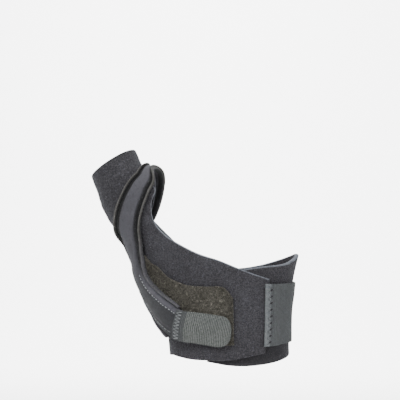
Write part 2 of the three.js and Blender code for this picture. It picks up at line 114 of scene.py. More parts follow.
HAND_SECTIONS = table(
    "z centre_x centre_y half_x half_y",
    (-0.4, 0.005, 0.0, 0.82, 1.02),
    (-0.15, 0.005, 0.0, 0.825, 1.0),
    (0.0, 0.005, 0.01, 0.82, 0.99),
    (0.2, 0.01, 0.0, 0.84, 0.96),
    (0.4, 0.02, -0.02, 0.91, 0.89),
    (0.6, 0.04, -0.06, 0.995, 0.78),
    (0.9, 0.08, -0.07, 1.08, 0.66),
    (1.3, 0.08, -0.07, 1.08, 0.62),
)
THUMB_BALLS = table(
    "x y z r",
    (-0.42, 0.16, 0.1, 1.18),
    (-0.7, 0.3, 0.27, 1.3),
    (-0.82, 0.38, 0.38, 1.39),
    (-0.89, 0.4, 0.47, 1.3),
    (-1.14, 0.38, 0.64, 1.1),
    (-1.45, 0.45, 0.775, 1.14),
    (-1.6, 0.54, 0.89, 1.03),
    (-1.73, 0.66, 1.02, 0.96),
    (-1.88, 0.8, 1.2, 0.9),
)
UNDER_COLUMNS = table(
    "foot_x foot_y foot_z top_x top_y top_z waist",
    (UNDER_END, -1.0, -0.15, UNDER_END, -1.0, 0.365, 0),
    (0.0, -1.0, -0.172, 0.05, -1.0, 0.382, 0),
    (0.3, -0.93, -0.174, 0.44, -0.88, 0.406, 0),
    (0.62, -0.7, -0.157, 0.78, -0.55, 0.425, 0),
    (0.82, 0.0, -0.118, 0.98, 0.0, 0.48, 0),
    (0.65, 0.65, -0.135, 0.8, 0.6, 0.445, 0),
    (0.32, 0.95, -0.14, 0.4, 0.9, 0.4, 0),
    (0.0, 1.0, -0.14, 0.0, 0.95, 0.385, 0),
    (-0.25, 0.95, -0.14, -0.4, 1.0, 0.42, 0),
    (-0.45, 0.85, -0.138, -0.78, 1.1, 0.52, 0),
)
SEAM_COLUMNS = table(
    "foot_x foot_y foot_z top_x top_y top_z waist",
    (-0.58, 0.75, -0.135, -1.2, 1.0, 0.7, 0),
    (-0.7, 0.5, -0.132, -1.42, 0.95, 0.66, 0),
    (-0.79, 0.1, -0.125, -1.56, 0.42, 0.575, 0),
    (-0.76, -0.3, -0.118, -1.48, -0.08, 0.68, 0),
    (-0.7, -0.5, -0.125, -1.34, -0.15, 0.84, -0.04),
    (-0.64, -0.62, -0.13, -1.19, -0.14, 0.9, -0.165),
)
FLAP_COLUMNS = table(
    "foot_x foot_y foot_z top_x top_y top_z waist",
    (-0.6, -0.72, -0.133, -1.09, -0.3, 0.86, -0.2),
    (-0.56, -0.78, -0.135, -1.14, -0.36, 0.8, -0.13),
    (-0.51, -0.82, -0.137, -1.15, -0.42, 0.735, -0.06),
    (-0.45, -0.86, -0.139, -1.1, -0.5, 0.665, -0.015),
    (-0.37, -0.9, -0.14, -0.94, -0.68, 0.594, 0),
    (-0.25, -0.95, -0.141, -0.7, -0.82, 0.532, 0),
    (-0.1, -1.0, -0.142, -0.4, -0.9, 0.477, 0),
    (0.05, -1.0, -0.136, -0.15, -0.92, 0.443, 0),
    (0.23, -0.96, -0.122, 0.165, -0.92, 0.39, 0),
    (0.475, -0.85, -0.1, 0.54, -0.8, 0.335, 0),
)
STRAP_PATH = table(
    "x y z half lift",
    (-1.34, 1.0, 0.66, 0.56, 0),
    (-1.26, 0.95, 0.77, 0.52, 0.1),
    (-1.21, 0.65, 0.86, 0.38, 0.2),
    (-1.19, 0.28, 0.905, 0.3, 0.25),
    (-1.215, -0.08, 0.89, 0.41, 0.2),
    (-1.31, -0.2, 0.855, 0.55, 0.1),
    (-1.41, -0.2, 0.77, 0.61, 0),
    (-1.46, -0.14, 0.68, 0.65, 0.15),
    (-1.45, -0.04, 0.59, 0.71, 0.6),
    (-1.41, 0.07, 0.49, 0.78, 1),
    (-1.35, 0.12, 0.39, 0.86, 1),
    (-1.26, 0.05, 0.285, 0.93, 1),
    (-1.12, -0.2, 0.185, 0.97, 1),
    (-0.925, -0.57, 0.113, 0.95, 1),
    (-0.75, -0.76, 0.075, 0.92, 1),
    (-0.42, -0.97, 0.049, 0.97, 1),
    (-0.1, -1.0, 0.028, 1, 1),
    (0.1, -1.0, 0.022, 1, 1),
)
LOOP_PATCH_COLUMNS = table(
    "low_x low_y low_z top_x top_y top_z",
    (-1.3, -0.05, 0.41, -1.25, -0.25, 0.47),
    (-1.22, -0.1, 0.31, -1.155, -0.35, 0.432),
    (-1.08, -0.25, 0.21, -1.015, -0.5, 0.396),
    (-0.92, -0.5, 0.11, -0.87, -0.65, 0.34),
    (-0.7, -0.78, 0.03, -0.615, -0.85, 0.3),
    (-0.4, -0.95, -0.03, -0.35, -0.95, 0.29),
    (-0.1, -1.0, -0.05, -0.095, -0.97, 0.286),
    (0.055, -1.0, -0.05, 0.043, -0.97, 0.224),
)
CLOSURE_COLUMNS = table(
    "low_x low_y low_z top_x top_y top_z",
    (0.445, -0.85, -0.062, 0.475, -0.85, 0.307),
    (0.64, -0.7, -0.055, 0.7, -0.7, 0.308),
    (0.78, -0.35, -0.045, 0.83, -0.35, 0.314),
    (0.8, 0.1, -0.04, 0.86, 0.1, 0.318),
    (0.72, 0.5, -0.04, 0.78, 0.5, 0.318),
    (0.55, 0.75, -0.036, 0.6, 0.75, 0.314),
    (0.44, 0.86, 0.01, 0.47, 0.86, 0.27),
)
WEB = (-1.14, 0.25, 0.797, 0.9)
CROTCH = (-1.16, 0.3, 0.93)


def smooth(t):
    """A soft step from 0 to 1."""
    t = np.clip(t, 0, 1)
    return t * t * (3 - 2 * t)


def between(values, place):
    """Values of a column at places between its rows, on a smooth curve through them."""
    place = np.asarray(place, float)
    count = len(values)
    i = np.clip(np.floor(place).astype(int), 0, count - 2)
    t = place - i
    p1, p2 = values[i], values[i + 1]
    p0 = np.where(i > 0, values[np.maximum(i - 1, 0)], 2 * p1 - p2)
    p3 = np.where(i + 2 < count, values[np.minimum(i + 2, count - 1)], 2 * p2 - p1)
    return 0.5 * (
        2 * p1
        + (p2 - p0) * t
        + (2 * p0 - 5 * p1 + 4 * p2 - p3) * t**2
        + (3 * p1 - p0 - 3 * p2 + p3) * t**3
    )


def table_point(rows, place, prefix=""):
    """Points of a table in millimetres."""
    shares = [between(rows[prefix + axis], place) for axis in "xyz"]
    return np.stack(shares, -1) * (HALF_BREADTH, HALF_DEPTH, REACH)


def unit(v):
    """Vectors of length one."""
    return v / np.maximum(np.linalg.norm(v, axis=-1, keepdims=True), 1e-9)


def hand_distance(p):
    """Distance from the hand's part of the form, negative inside it."""
    height = p[:, 2] / REACH
    z = HAND_SECTIONS["z"]
    row = np.clip(np.searchsorted(z, height) - 1, 0, len(z) - 2)
    place = row + np.clip((height - z[row]) / (z[row + 1] - z[row]), 0, 1)
    dx = p[:, 0] - between(HAND_SECTIONS["centre_x"], place) * HALF_BREADTH
    dy = p[:, 1] - between(HAND_SECTIONS["centre_y"], place) * HALF_DEPTH
    ax = np.abs(dx) / (between(HAND_SECTIONS["half_x"], place) * HALF_BREADTH)
    ay = np.abs(dy) / (between(HAND_SECTIONS["half_y"], place) * HALF_DEPTH)
    q = np.maximum(1e-6, (ax**SECTION_POWER + ay**SECTION_POWER) ** (1 / SECTION_POWER))
    return np.hypot(dx, dy) * (1 - 1 / q)


def thumb_line():
    """Centres and radii of the thumb's balls, in three steps from row to row."""
    last = len(THUMB_BALLS["r"]) - 1
    place = np.linspace(0, last, last * 3 + 1)
    return table_point(THUMB_BALLS, place), between(THUMB_BALLS["r"], place) * THUMB_RADIUS


THUMB_LINE, THUMB_R = thumb_line()


def thumb_distance(p):
    """Distance from the chain of balls along the thumb."""
    best = np.full(len(p), np.inf)
    for a, b, ra, rb in zip(THUMB_LINE, THUMB_LINE[1:], THUMB_R, THUMB_R[1:]):
        along = b - a
        t = np.clip((p - a) @ along / (along @ along), 0, 1)
        away = p - a - t[:, None] * along
        best = np.minimum(best, np.sqrt((away * away).sum(1)) - ra - (rb - ra) * t)
    return best


def blend(a, b, width):
    """The smaller of two distances, rounded where they are alike."""
    h = np.maximum(width - np.abs(a - b), 0) / width
    return np.minimum(a, b) - h * h * width / 4


WEB_CENTRE = np.array(WEB[:3]) * (HALF_BREADTH, HALF_DEPTH, REACH)


def form_distance(p):
    """Height above the form: the hand part, the thumb part and the web, blended where they meet."""
    web = np.linalg.norm(p - WEB_CENTRE, axis=1) - WEB[3] * THUMB_RADIUS
    return blend(blend(hand_distance(p), thumb_distance(p), THUMB_BLEND), web, WEB_BLEND)


def form_normal(p, step=0.05):
    """How the distance from the form rises at points, measured over a step to both sides."""
    shape = p.shape
    p = p.reshape(-1, 3)
    moves = np.eye(3) * step
    n = [form_distance(p + m) - form_distance(p - m) for m in moves]
    return (np.stack(n, -1) / (2 * step)).reshape(shape)


def on_form(guide, rounds=7, step=0.02):
    """The points of the form nearest to guide points."""
    p = guide.reshape(-1, 3).copy()
    for _ in range(rounds):
        away = form_distance(p)
        n = np.stack([form_distance(p + move) - away for move in np.eye(3) * step], -1) / step
        p -= n * (away / np.maximum((n * n).sum(1), 1e-4))[:, None]
    return p.reshape(guide.shape)


def facing(guide, rounds=45):
    """The points of the form that guide points drop onto, straight from in front of the back of the hand."""
    p = guide.reshape(-1, 3).copy()
    p[:, 1] = -4 * HALF_DEPTH
    for _ in range(rounds):
        p[:, 1] += form_distance(p)
    return p.reshape(guide.shape)


def climb(p):
    """Height of the flap where it climbs onto the under layer."""
    share = p[..., 0] / HALF_BREADTH
    return smooth((share - CLIMB_START) / (CLIMB_END - CLIMB_START)) * (CLOTH + LAYER_GAP)


def ease(p):
    """Slow rise and fall of worn cloth, the same for every layer at a place, in millimetres."""
    x, y, z = p[..., 0], p[..., 1], p[..., 2]
    slow = np.sin(0.17 * x + 0.11 * y - 0.21 * z + 1.4 * np.sin(0.06 * z + 0.05 * x))
    mid = np.sin(0.31 * z - 0.16 * x + 0.2 * y + 1.1 * np.sin(0.09 * x + 2.0))
    quick = np.sin(0.47 * x + 0.3 * z + 1.7 * np.sin(0.12 * z - 0.1 * y))
    return 0.2 * slow + 0.14 * mid + 0.07 * quick


# Powers of the rounded corners at the borders: of laminate, of elastic and tapes, and of bindings.
ROUND_BORDER = 2.8
FLAT_BORDER = 2.2
CIRCLE_BORDER = 2.0

# Places of grid lines beside a border, in widths of its rounding.
RIM_STEPS = np.array([0, 0.05, 0.14, 0.28, 0.46, 0.7, 1.0, 1.4])


def rim_places(lengths, count, rim):
    """Shares from 0 to 1 along sheets of these lengths, close together near both ends.

    There are count lines between the closer ones.
    """
    lengths = np.atleast_1d(lengths)[:, None]
    ends = RIM_STEPS * rim / lengths
    t = np.linspace(0, 1, count + 2)[1:-1]
    inner = ends[:, -1:] + (1 - 2 * ends[:, -1:]) * t
    return np.concatenate([ends, inner, 1 - ends[:, ::-1]], 1)


def walked(points, axis):
    """Distance of a grid's points from the nearer of two opposite borders, and along the grid."""
    steps = np.linalg.norm(np.diff(points, axis=axis), axis=-1)
    zero = np.zeros_like(steps.take([0], axis))
    along = np.concatenate([zero, np.cumsum(steps, axis)], axis)
    return np.minimum(along, along.take([-1], axis) - along), along


def rounding(distance, rim, power):
    """From 0 at a border to 1 at the rim's width, along a rounded corner."""
    t = 1 - np.clip(distance / rim, 0, 1)
    return np.maximum(1 - t**power, 0) ** (1 / power)


def new_object(name, points, faces, material, marks=None):
    """A smooth mesh object from points in millimetres, with float or vector marks on its points."""
    mesh = bpy.data.meshes.new(name)
    mesh.from_pydata((points * MM).tolist(), [], faces)
    for key, values in (marks or {}).items():
        vector = np.ndim(values) == 2
        layer = mesh.attributes.new(key, "FLOAT_VECTOR" if vector else "FLOAT", "POINT")
        layer.data.foreach_set("vector" if vector else "value", np.ravel(values).astype(np.float32))
    mesh.materials.append(material)
    mesh.shade_smooth()
    obj = bpy.data.objects.new(name, mesh)
    bpy.context.scene.collection.objects.link(obj)
    return obj


class Sheet:
    """A closed sheet over a grid of form points, with rounded borders."""

    def __init__(self, grid, under, over, rim, power, closed=False, marks=None):
        self.grid = grid
        self.closed = closed
        self.normal = unit(form_normal(grid, FOLD_ROUNDING))
        across, self.across = walked(grid, 1)
        ends, self.along = walked(grid, 0)
        k = rounding(across, rim, power)
        if not closed:
            k = k * rounding(ends, rim, power)
        rise = ease(grid)
        middle = (under + over) / 2
        self.top = grid + self.normal * (middle + (over - middle) * k + rise)[..., None]
        self.bottom = grid + self.normal * (middle + (under - middle) * k + rise)[..., None]
        self.cut = 1 - k
        self.marks = marks or {}

    def build(self, name, material):
        """One closed mesh of both faces, which share the border's points."""
        columns, rows = self.grid.shape[:2]
        border = np.zeros((columns, rows), bool)
        border[:, [0, -1]] = True
        if not self.closed:
            border[[0, -1]] = True
        first = np.arange(columns * rows).reshape(columns, rows)
        second = first.copy()
        second[~border] = columns * rows + np.arange((~border).sum())

        def both(v):
            return np.concatenate([v.ravel(), v[~border]])

        i = np.arange(columns if self.closed else columns - 1)[:, None]
        j = np.arange(rows - 1)
        ahead = (i + 1) % columns
        faces = []
        for side, turn in ((first, 1), (second, -1)):
            corners = [side[i, j], side[ahead, j], side[ahead, j + 1], side[i, j + 1]]
            faces += np.stack(corners[::turn], -1).reshape(-1, 4).tolist()
        points = np.concatenate([self.top.reshape(-1, 3), self.bottom[~border]])
        side = np.concatenate([np.ones(first.size), np.zeros((~border).sum())])
        marks = {
            "cloth": np.stack([both(self.along) * MM, both(self.across) * MM, side], -1),
            "cut": both(self.cut),
        }
        marks.update({key: both(v) for key, v in self.marks.items()})
        return new_object(name, points, faces, material, marks)

    def at(self, u, v, lift=0.0):
        """Points and normals of the upper face at places of the grid, lifted off it."""
        columns, rows = self.grid.shape[:2]
        i = np.clip(np.floor(u).astype(int), 0, columns - 2)
        j = np.clip(np.floor(v).astype(int), 0, rows - 2)
        a, b = (u - i)[..., None], (v - j)[..., None]

        def mixed(g):
            low = g[i, j] * (1 - b) + g[i, j + 1] * b
            high = g[i + 1, j] * (1 - b) + g[i + 1, j + 1] * b
            return low * (1 - a) + high * a

        n = unit(mixed(self.normal))
        return mixed(self.top) + n * np.asarray(lift)[..., None], n


def tubes(name, paths, up, radius, material, sides=5, taper=0.35, marks=None):
    """Many threads as one mesh. paths: threads, points, xyz. up: a direction across each path."""
    count, points = paths.shape[:2]
    along = unit(np.gradient(paths, axis=1))
    side = unit(np.cross(along, np.broadcast_to(up, paths.shape)))
    rise = np.cross(side, along)
    angle = np.arange(sides) * 2 * math.pi / sides
    size = np.full(points, radius)
    size[[0, -1]] *= taper
    ring = side[:, :, None] * np.cos(angle)[:, None] + rise[:, :, None] * np.sin(angle)[:, None]
    made = (paths[:, :, None] + ring * size[:, None, None]).reshape(-1, 3)
    start = (np.arange(count) * points * sides)[:, None, None]
    i = (np.arange(points - 1) * sides)[:, None]
    j = np.arange(sides)
    k = (j + 1) % sides
    quads = np.stack([start + i + j, start + i + k, start + i + sides + k, start + i + sides + j], -1)
    ends = (np.arange(count) * points * sides)[:, None]
    caps = np.concatenate([ends + j[::-1], ends + (points - 1) * sides + j])
    faces = quads.reshape(-1, 4).tolist() + caps.tolist()
    spread = {key: np.repeat(v, points * sides, 0) for key, v in (marks or {}).items()}
    return new_object(name, made, faces, material, spread)


def column_rows(foot, head, places, landing, waist):
    """Rows of points from feet to heads along the form, bent sideways by the waist."""
    t = places[..., None]
    guide = foot[:, None] * (1 - t) + head[:, None] * t
    guide[..., 0] += waist[:, None] * HALF_BREADTH * places**3 * (1 - places) / WAIST_PEAK
    return landing(guide)


LAST_UNDER_ROW = len(UNDER_COLUMNS["top_x"]) - 1
LAST_SEAM_ROW = len(SEAM_COLUMNS["top_x"]) - 1
LAST_FLAP_ROW = len(FLAP_COLUMNS["top_x"])
LAST_ROW = len(STRAP_PATH["x"]) - 1


def seam_points(place, side, away=SEAM_GAP / 2):
    """Points beside the seam that the wrap and the sleeve share, on one side of it."""
    step = 0.05
    here = on_form(table_point(SEAM_COLUMNS, place, "top_"))
    ahead = on_form(table_point(SEAM_COLUMNS, np.minimum(place + step, LAST_SEAM_ROW), "top_"))
    behind = on_form(table_point(SEAM_COLUMNS, np.maximum(place - step, 0), "top_"))
    across = unit(np.cross(ahead - behind, form_normal(here)))
    return on_form(here - across * np.multiply(side, away)[..., None])


def joined(*tables):
    """Tables with the same columns, one below the other."""
    return {key: np.concatenate([t[key] for t in tables]) for key in tables[0]}


def wrap_sheet(cells, rows, rim):
    """The wrap's grid, from the under layer's end round the hand to the flap's end.

    With it come the height of its lower face and which columns belong to the under layer.
    """
    last_under = {key: v[-1:] for key, v in UNDER_COLUMNS.items()}
    first_seam = {key: v[:1] for key, v in SEAM_COLUMNS.items()}
    last_seam = {key: v[-1:] for key, v in SEAM_COLUMNS.items()}
    # Each part's table, its last row and its share of the columns.
    parts = {
        "under": (UNDER_COLUMNS, LAST_UNDER_ROW, 0.333),
        "thumb base": (joined(last_under, first_seam), 1, 0.047),
        "seam": (SEAM_COLUMNS, LAST_SEAM_ROW, 0.3),
        "flap": (joined(last_seam, FLAP_COLUMNS), LAST_FLAP_ROW, 0.367),
    }
    # Millimetres from row to row at the two ends of the sheet.
    under_pitch, flap_pitch = 13, 12
    feet, heads, waists, flap, beneath = [], [], [], [], []
    for part, (columns, last, share) in parts.items():
        count = round(share * cells)
        place = last * np.arange(count) / count
        if part == "under":
            early = RIM_STEPS[1:-1] * rim / under_pitch
            place = np.concatenate([[0], early, place[place > early[-1] * 1.3]])
        if part == "flap":
            late = last - RIM_STEPS[::-1] * rim / flap_pitch
            place = np.concatenate([place[1:][place[1:] < late[0] - 0.05], late])
        landing = facing if part == "flap" else on_form
        feet.append(landing(table_point(columns, place, "foot_")))
        head = seam_points(place, -1) if part == "seam" else landing(table_point(columns, place, "top_"))
        heads.append(head)
        waists.append(between(columns["waist"], place))
        flap.append(np.full(len(place), part == "flap"))
        beneath.append(np.full(len(place), part == "under"))
    foot, head, waist, flap, beneath = map(np.concatenate, (feet, heads, waists, flap, beneath))
    places = rim_places(np.linalg.norm(head - foot, axis=1), rows, rim)
    grid = np.concatenate([
        column_rows(foot[~flap], head[~flap], places[~flap], on_form, waist[~flap]),
        column_rows(foot[flap], head[flap], places[flap], facing, waist[flap]),
    ])
    under = np.where(flap[:, None], climb(grid), 0)
    return grid, under, beneath


def sleeve_sheet(cells, rows, rim):
    """The grid of the tube round the thumb, from the seam and the web to its rim."""
    rim_ball, base_ball = -4, -7
    last, before = THUMB_LINE[rim_ball], THUMB_LINE[base_ball]
    radius = THUMB_R[rim_ball]
    axis = unit(last - before)
    side = unit(np.cross((0.0, 1.0, 0.0), axis))
    back = np.cross(side, axis)
    seam_cells = round(cells * 0.7)
    loop = seam_points(np.linspace(0, LAST_SEAM_ROW, seam_cells), 1)
    rise = np.array(CROTCH) * (HALF_BREADTH, HALF_DEPTH, REACH) - (loop[0] + loop[-1]) / 2
    t = np.linspace(0, 1, cells - seam_cells + 2)[1:-1, None]
    loop = np.concatenate([loop, on_form(loop[-1] * (1 - t) + loop[0] * t + rise * np.sin(math.pi * t))])
    steps = np.linalg.norm(np.roll(loop, -1, 0) - loop, axis=1)
    share = np.concatenate([[0], np.cumsum(steps)[:-1]]) / steps.sum()

    def angle_of(p):
        out = p - before
        return math.atan2(out @ back, out @ side)

    start = angle_of(loop[0])
    turn = np.sign(math.sin(angle_of(loop[round(cells * 0.1)]) - start))
    angle = (start + turn * 2 * math.pi * share)[:, None]
    head = last + axis * SLEEVE_RIM_TILT * np.cos(angle)
    head = on_form(head + side * np.cos(angle) * radius + back * np.sin(angle) * radius)
    places = rim_places(np.linalg.norm(head - loop, axis=1), rows, rim)
    return column_rows(loop, head, places, on_form, np.zeros(len(loop)))


def strap_place(share):
    """The place near the strap's end where its middle line passes a share of the breadth."""
    end_rows, steps = 7, 4000
    places = np.linspace(LAST_ROW - end_rows, LAST_ROW, steps)
    return float(places[np.searchsorted(between(STRAP_PATH["x"], places), share)])


def beside_strap(place, offset):
    """Points at distances in millimetres beside the strap's middle line, walked over the form."""
    step, walks = 0.1, 8
    p = on_form(table_point(STRAP_PATH, place))
    ahead = on_form(table_point(STRAP_PATH, np.minimum(place + step, LAST_ROW)))
    behind = on_form(table_point(STRAP_PATH, np.maximum(place - step, 0)))
    way = unit(ahead - behind)
    for _ in range(walks):
        across = unit(np.cross(unit(form_normal(p)), way))
        p = on_form(p + across * (offset / walks)[..., None], 3)
        n = unit(form_normal(p))
        way = unit(way - n * (way * n).sum(-1, keepdims=True))
    return p


def strap_half(place):
    """Half of the strap's width, which spreads a little beside the fold over the web."""
    spread = 1 + 0.34 * np.exp(-(((place - 3.2) / 1.3) ** 2))
    return between(STRAP_PATH["half"], place) * spread * STRAP_WIDTH / 2


def fold_extra(place):
    """Extra room for the bindings where the strap folds over the web."""
    return FOLD_EXTRA * np.exp(-((place - FOLD_ROW) ** 2) / 2)


def strap_under(p, place):
    """Height of the strap's lower face above the form."""
    first_on_flap = 9
    lift = np.clip(between(STRAP_PATH["lift"], place), 0, 1) * (LOOP_TAPE + LAYER_GAP)
    return np.where(place > first_on_flap, climb(p), 0) + CLOTH + LAYER_GAP + lift


def leaning(place, half, share, lean):
    """Points across the strap at shares of its half width, of which the thumb side leans ahead."""
    ahead = lean * LEAN_ROWS * (1 - share) / 2
    return beside_strap(place + ahead, share * half)


def patch_grid(rows, cells, across, rim, length):
    """A grid between the low and top edges of a patch of this length."""
    last = len(rows["low_x"]) - 1
    place = rim_places(length, cells, rim)[0] * last
    foot = on_form(table_point(rows, place, "low_"))
    head = on_form(table_point(rows, place, "top_"))
    places = rim_places(np.linalg.norm(head - foot, axis=1), across, rim)
    return column_rows(foot, head, places, on_form, np.zeros(len(place)))


class Net:
    """Short calls that add nodes to one tree."""

    def __init__(self, tree):
        self.tree = tree

    def add(self, kind, inputs=None, **settings):
        """A node, with its inputs linked or set and its settings made."""
        node = self.tree.nodes.new(kind)
        for key, value in settings.items():
            setattr(node, key, value)
        for key, value in (inputs or {}).items():
            if isinstance(value, bpy.types.NodeSocket):
                self.tree.links.new(value, node.inputs[key])
            else:
                node.inputs[key].default_value = value
        return node

    def math(self, operation, *values):
        """One sum, product or other operation on values."""
        return self.add("ShaderNodeMath", dict(enumerate(values)), operation=operation).outputs[0]

    def mix(self, factor, a, b, blend_type="MIX"):
        """Two colours mixed by a factor."""
        inputs = {0: factor, 6: a, 7: b}
        return self.add("ShaderNodeMix", inputs, data_type="RGBA", blend_type=blend_type).outputs[2]

    def over(self, face, colour, mask, amount):
        """Lays a colour over a face where a mask is."""
        return self.mix(self.math("MULTIPLY", mask, amount), face, colour)

    def total(self, *parts):
        """The sum of values, each times its weight."""
        made = [self.math("MULTIPLY", value, weight) for value, weight in parts]
        return functools.reduce(lambda a, b: self.math("ADD", a, b), made)

    def ramp(self, value, low, high, to_low=0.0, to_high=1.0):
        """A value brought softly from one range to another."""
        inputs = {"Value": value, "From Min": low, "From Max": high, "To Min": to_low, "To Max": to_high}
        return self.add("ShaderNodeMapRange", inputs, interpolation_type="SMOOTHSTEP").outputs[0]

    def noise(self, scale, detail=3.0, rough=0.55, place=None):
        """Noise over the object, or at a place of its own."""
        place = place or self.add("ShaderNodeTexCoord").outputs["Object"]
        inputs = {"Vector": place, "Scale": scale, "Detail": detail, "Roughness": rough}
        return self.add("ShaderNodeTexNoise", inputs).outputs[0]

    def mark(self, name, output="Fac"):
        """A mark that the mesh carries on its points."""
        node = self.add("ShaderNodeAttribute", attribute_name=name, attribute_type="GEOMETRY")
        return node.outputs[output]


def node_group(name, inputs, outputs, fill):
    """A shader node group with named float inputs and outputs, built once."""
    tree = bpy.data.node_groups.new(name, "ShaderNodeTree")
    for key, value in inputs.items():
        socket = tree.interface.new_socket(key, in_out="INPUT", socket_type="NodeSocketFloat")
        socket.default_value = value
    for key in outputs:
        tree.interface.new_socket(key, in_out="OUTPUT", socket_type="NodeSocketFloat")
    net = Net(tree)
    made = fill(net, net.add("NodeGroupInput").outputs)
    net.add("NodeGroupOutput", made)
    return tree


def fill_knit(net, given):
    """Small stitches of a brushed knit, with a finer nap over them."""
    place = net.add("ShaderNodeTexCoord").outputs["Object"]
    cells = net.add("ShaderNodeTexVoronoi", {"Vector": place, "Scale": given["Scale"], "Randomness": 0.8})
    nap = net.noise(net.math("MULTIPLY", given["Scale"], 2.1), 2.0, 0.6, place)
    specks = net.noise(net.math("MULTIPLY", given["Scale"], 0.9), 3.0, 0.75, place)
    sparse = net.noise(net.math("MULTIPLY", given["Scale"], 0.7), 1.0, 0.5, place)
    round_top = net.math("SUBTRACT", 1.0, cells.outputs["Distance"])
    height = net.total((round_top, 0.6), (nap, 0.5))
    grain = net.total((round_top, 0.35), (specks, 0.75))
    return {"Height": height, "Grain": net.ramp(grain, 0.38, 0.82), "Flecks": net.ramp(sparse, 0.6, 0.72)}


def fill_mottle(net, given):
    """Slow change of shade over a piece."""
    slow = net.noise(given["Scale"], 4.0, 0.6)
    return {"Shade": net.ramp(slow, 0.3, 0.7)}


def fill_ribs(net, given):
    """Woven rows across a tape, with crossing threads."""
    place = net.add("ShaderNodeSeparateXYZ", {0: net.mark("cloth", "Vector")})
    turns = 2 * math.pi
    along = net.math("MULTIPLY", net.math("DIVIDE", place.outputs[0], given["Row"]), turns)
    across = net.math("MULTIPLY", net.math("DIVIDE", place.outputs[1], given["Thread"]), turns)
    rows = net.ramp(net.math("COSINE", along), -0.7, 0.9)
    threads = net.ramp(net.math("COSINE", across), -0.8, 0.8)
    height = net.total((rows, 0.6), (threads, 0.3), (net.noise(900.0, 2.0), 0.25))
    return {"Height": height, "Rows": rows, "Dots": net.math("MULTIPLY", rows, threads)}


def fill_rim(net, given):
    """Where a cut border shows, broken up by fluff."""
    fluff = net.noise(420.0, 3.0, 0.7)
    edge = net.total((net.mark("cut"), 1.0), (net.math("SUBTRACT", fluff, 0.5), 0.5))
    return {"Edge": net.ramp(edge, given["Start"], given["End"])}


def fill_wear(net, given):
    """Rubbed, paler places, in patches of fine and slow noise."""
    fine = net.noise(260.0, 5.0, 0.7)
    slow = net.noise(45.0, 2.0, 0.5)
    return {"Rub": net.ramp(net.total((fine, 0.6), (slow, 0.5)), 0.5, 0.72)}


def groups():
    """The shared node groups by a short name."""
    made = {}
    for key, name, inputs, outputs, fill in (
        ("knit", "Knit grain", {"Scale": 1500.0}, ("Height", "Grain", "Flecks"), fill_knit),
        ("mottle", "Slow mottle", {"Scale": 45.0}, ("Shade",), fill_mottle),
        ("ribs", "Tape ribs", {"Row": 0.0009, "Thread": 0.0006}, ("Height", "Rows", "Dots"), fill_ribs),
        ("rim", "Cut border", {"Start": 0.35, "End": 0.8}, ("Edge",), fill_rim),
        ("wear", "Rubbed places", {}, ("Rub",), fill_wear),
    ):
        tree = bpy.data.node_groups.get(name)
        made[key] = tree or node_group(name, inputs, outputs, fill)
    return made


def rgba(colour, factor=1.0):
    """A colour, made darker or paler by a factor, with its alpha."""
    return tuple(min(1.0, c * factor) for c in colour[:3]) + (1.0,)


def mottled(net, group, face, scale, shade):
    """A face multiplied by a shade in slow, soft patches."""
    darker = net.mix(1.0, face, rgba(shade), "MULTIPLY")
    return net.mix(group("mottle", Scale=scale)["Shade"], darker, face)


def new_material(name, colour, roughness, height, bump, sheen=0.0, sheen_tint=(1, 1, 1)):
    """A cloth material whose colour, roughness and bump come from three functions of its net."""
    material = bpy.data.materials.get(name)
    if material:
        return material
    material = bpy.data.materials.new(name)
    material.use_nodes = True
    net = Net(material.node_tree)
    shader = material.node_tree.nodes["Principled BSDF"]
    shader.inputs["Specular IOR Level"].default_value = 0.3
    shader.inputs["Sheen Weight"].default_value = sheen
    shader.inputs["Sheen Roughness"].default_value = 0.45
    shader.inputs["Sheen Tint"].default_value = rgba(sheen_tint)

    def add_group(key, **inputs):
        return net.add("ShaderNodeGroup", inputs, node_tree=groups()[key]).outputs

    link = net.tree.links.new
    link(colour(net, add_group), shader.inputs["Base Color"])
    link(roughness(net, add_group), shader.inputs["Roughness"])
    strength, distance = bump
    sockets = {"Height": height(net, add_group), "Strength": strength, "Distance": distance}
    bumped = net.add("ShaderNodeBump", sockets)
    link(bumped.outputs[0], shader.inputs["Normal"])
    return material


def cloth_material(name, dark, light, foam, fleck, scale):
    """Brushed knit bonded to foam: specks, slow mottle, painted shade where the shade mark is, a pale cut
    border in the foam's colour brightened as a painted highlight, and a plainer, paler inner face.
    """
    lining = 1.25

    def colour(net, group):
        knit = group("knit", Scale=scale)
        face = net.mix(knit["Grain"], rgba(dark), rgba(light))
        face = net.over(face, rgba(fleck), knit["Flecks"], 0.4)
        face = mottled(net, group, face, 38.0, (0.86, 0.86, 0.86))
        face = net.over(face, rgba(foam, 0.8), group("wear")["Rub"], 0.06)
        # Painted shade from the shade mark, laid in the knit's dark colour.
        face = net.over(face, rgba(dark, 0.9), net.mark("shade"), 0.75)
        side = net.add("ShaderNodeSeparateXYZ", {0: net.mark("cloth", "Vector")}).outputs[2]
        inner = net.mix(knit["Grain"], rgba(dark, lining), rgba(light, lining))
        face = net.mix(net.ramp(side, 0.2, 0.8), inner, face)
        # The cut border: the foam's own colour, made paler than it as a painted highlight where light catches
        # the edge.
        return net.over(face, rgba(foam), group("rim", Start=0.42, End=0.85)["Edge"], 0.75)

    def roughness(net, group):
        return net.ramp(group("knit", Scale=scale)["Grain"], 0.0, 1.0, 0.98, 0.82)

    def height(net, group):
        return net.total((group("knit", Scale=scale)["Height"], 1.0), (net.noise(190.0, 3.0), 0.3))

    return new_material(name, colour, roughness, height, (0.7, 0.0006), 0.06, (0.8, 0.82, 0.95))


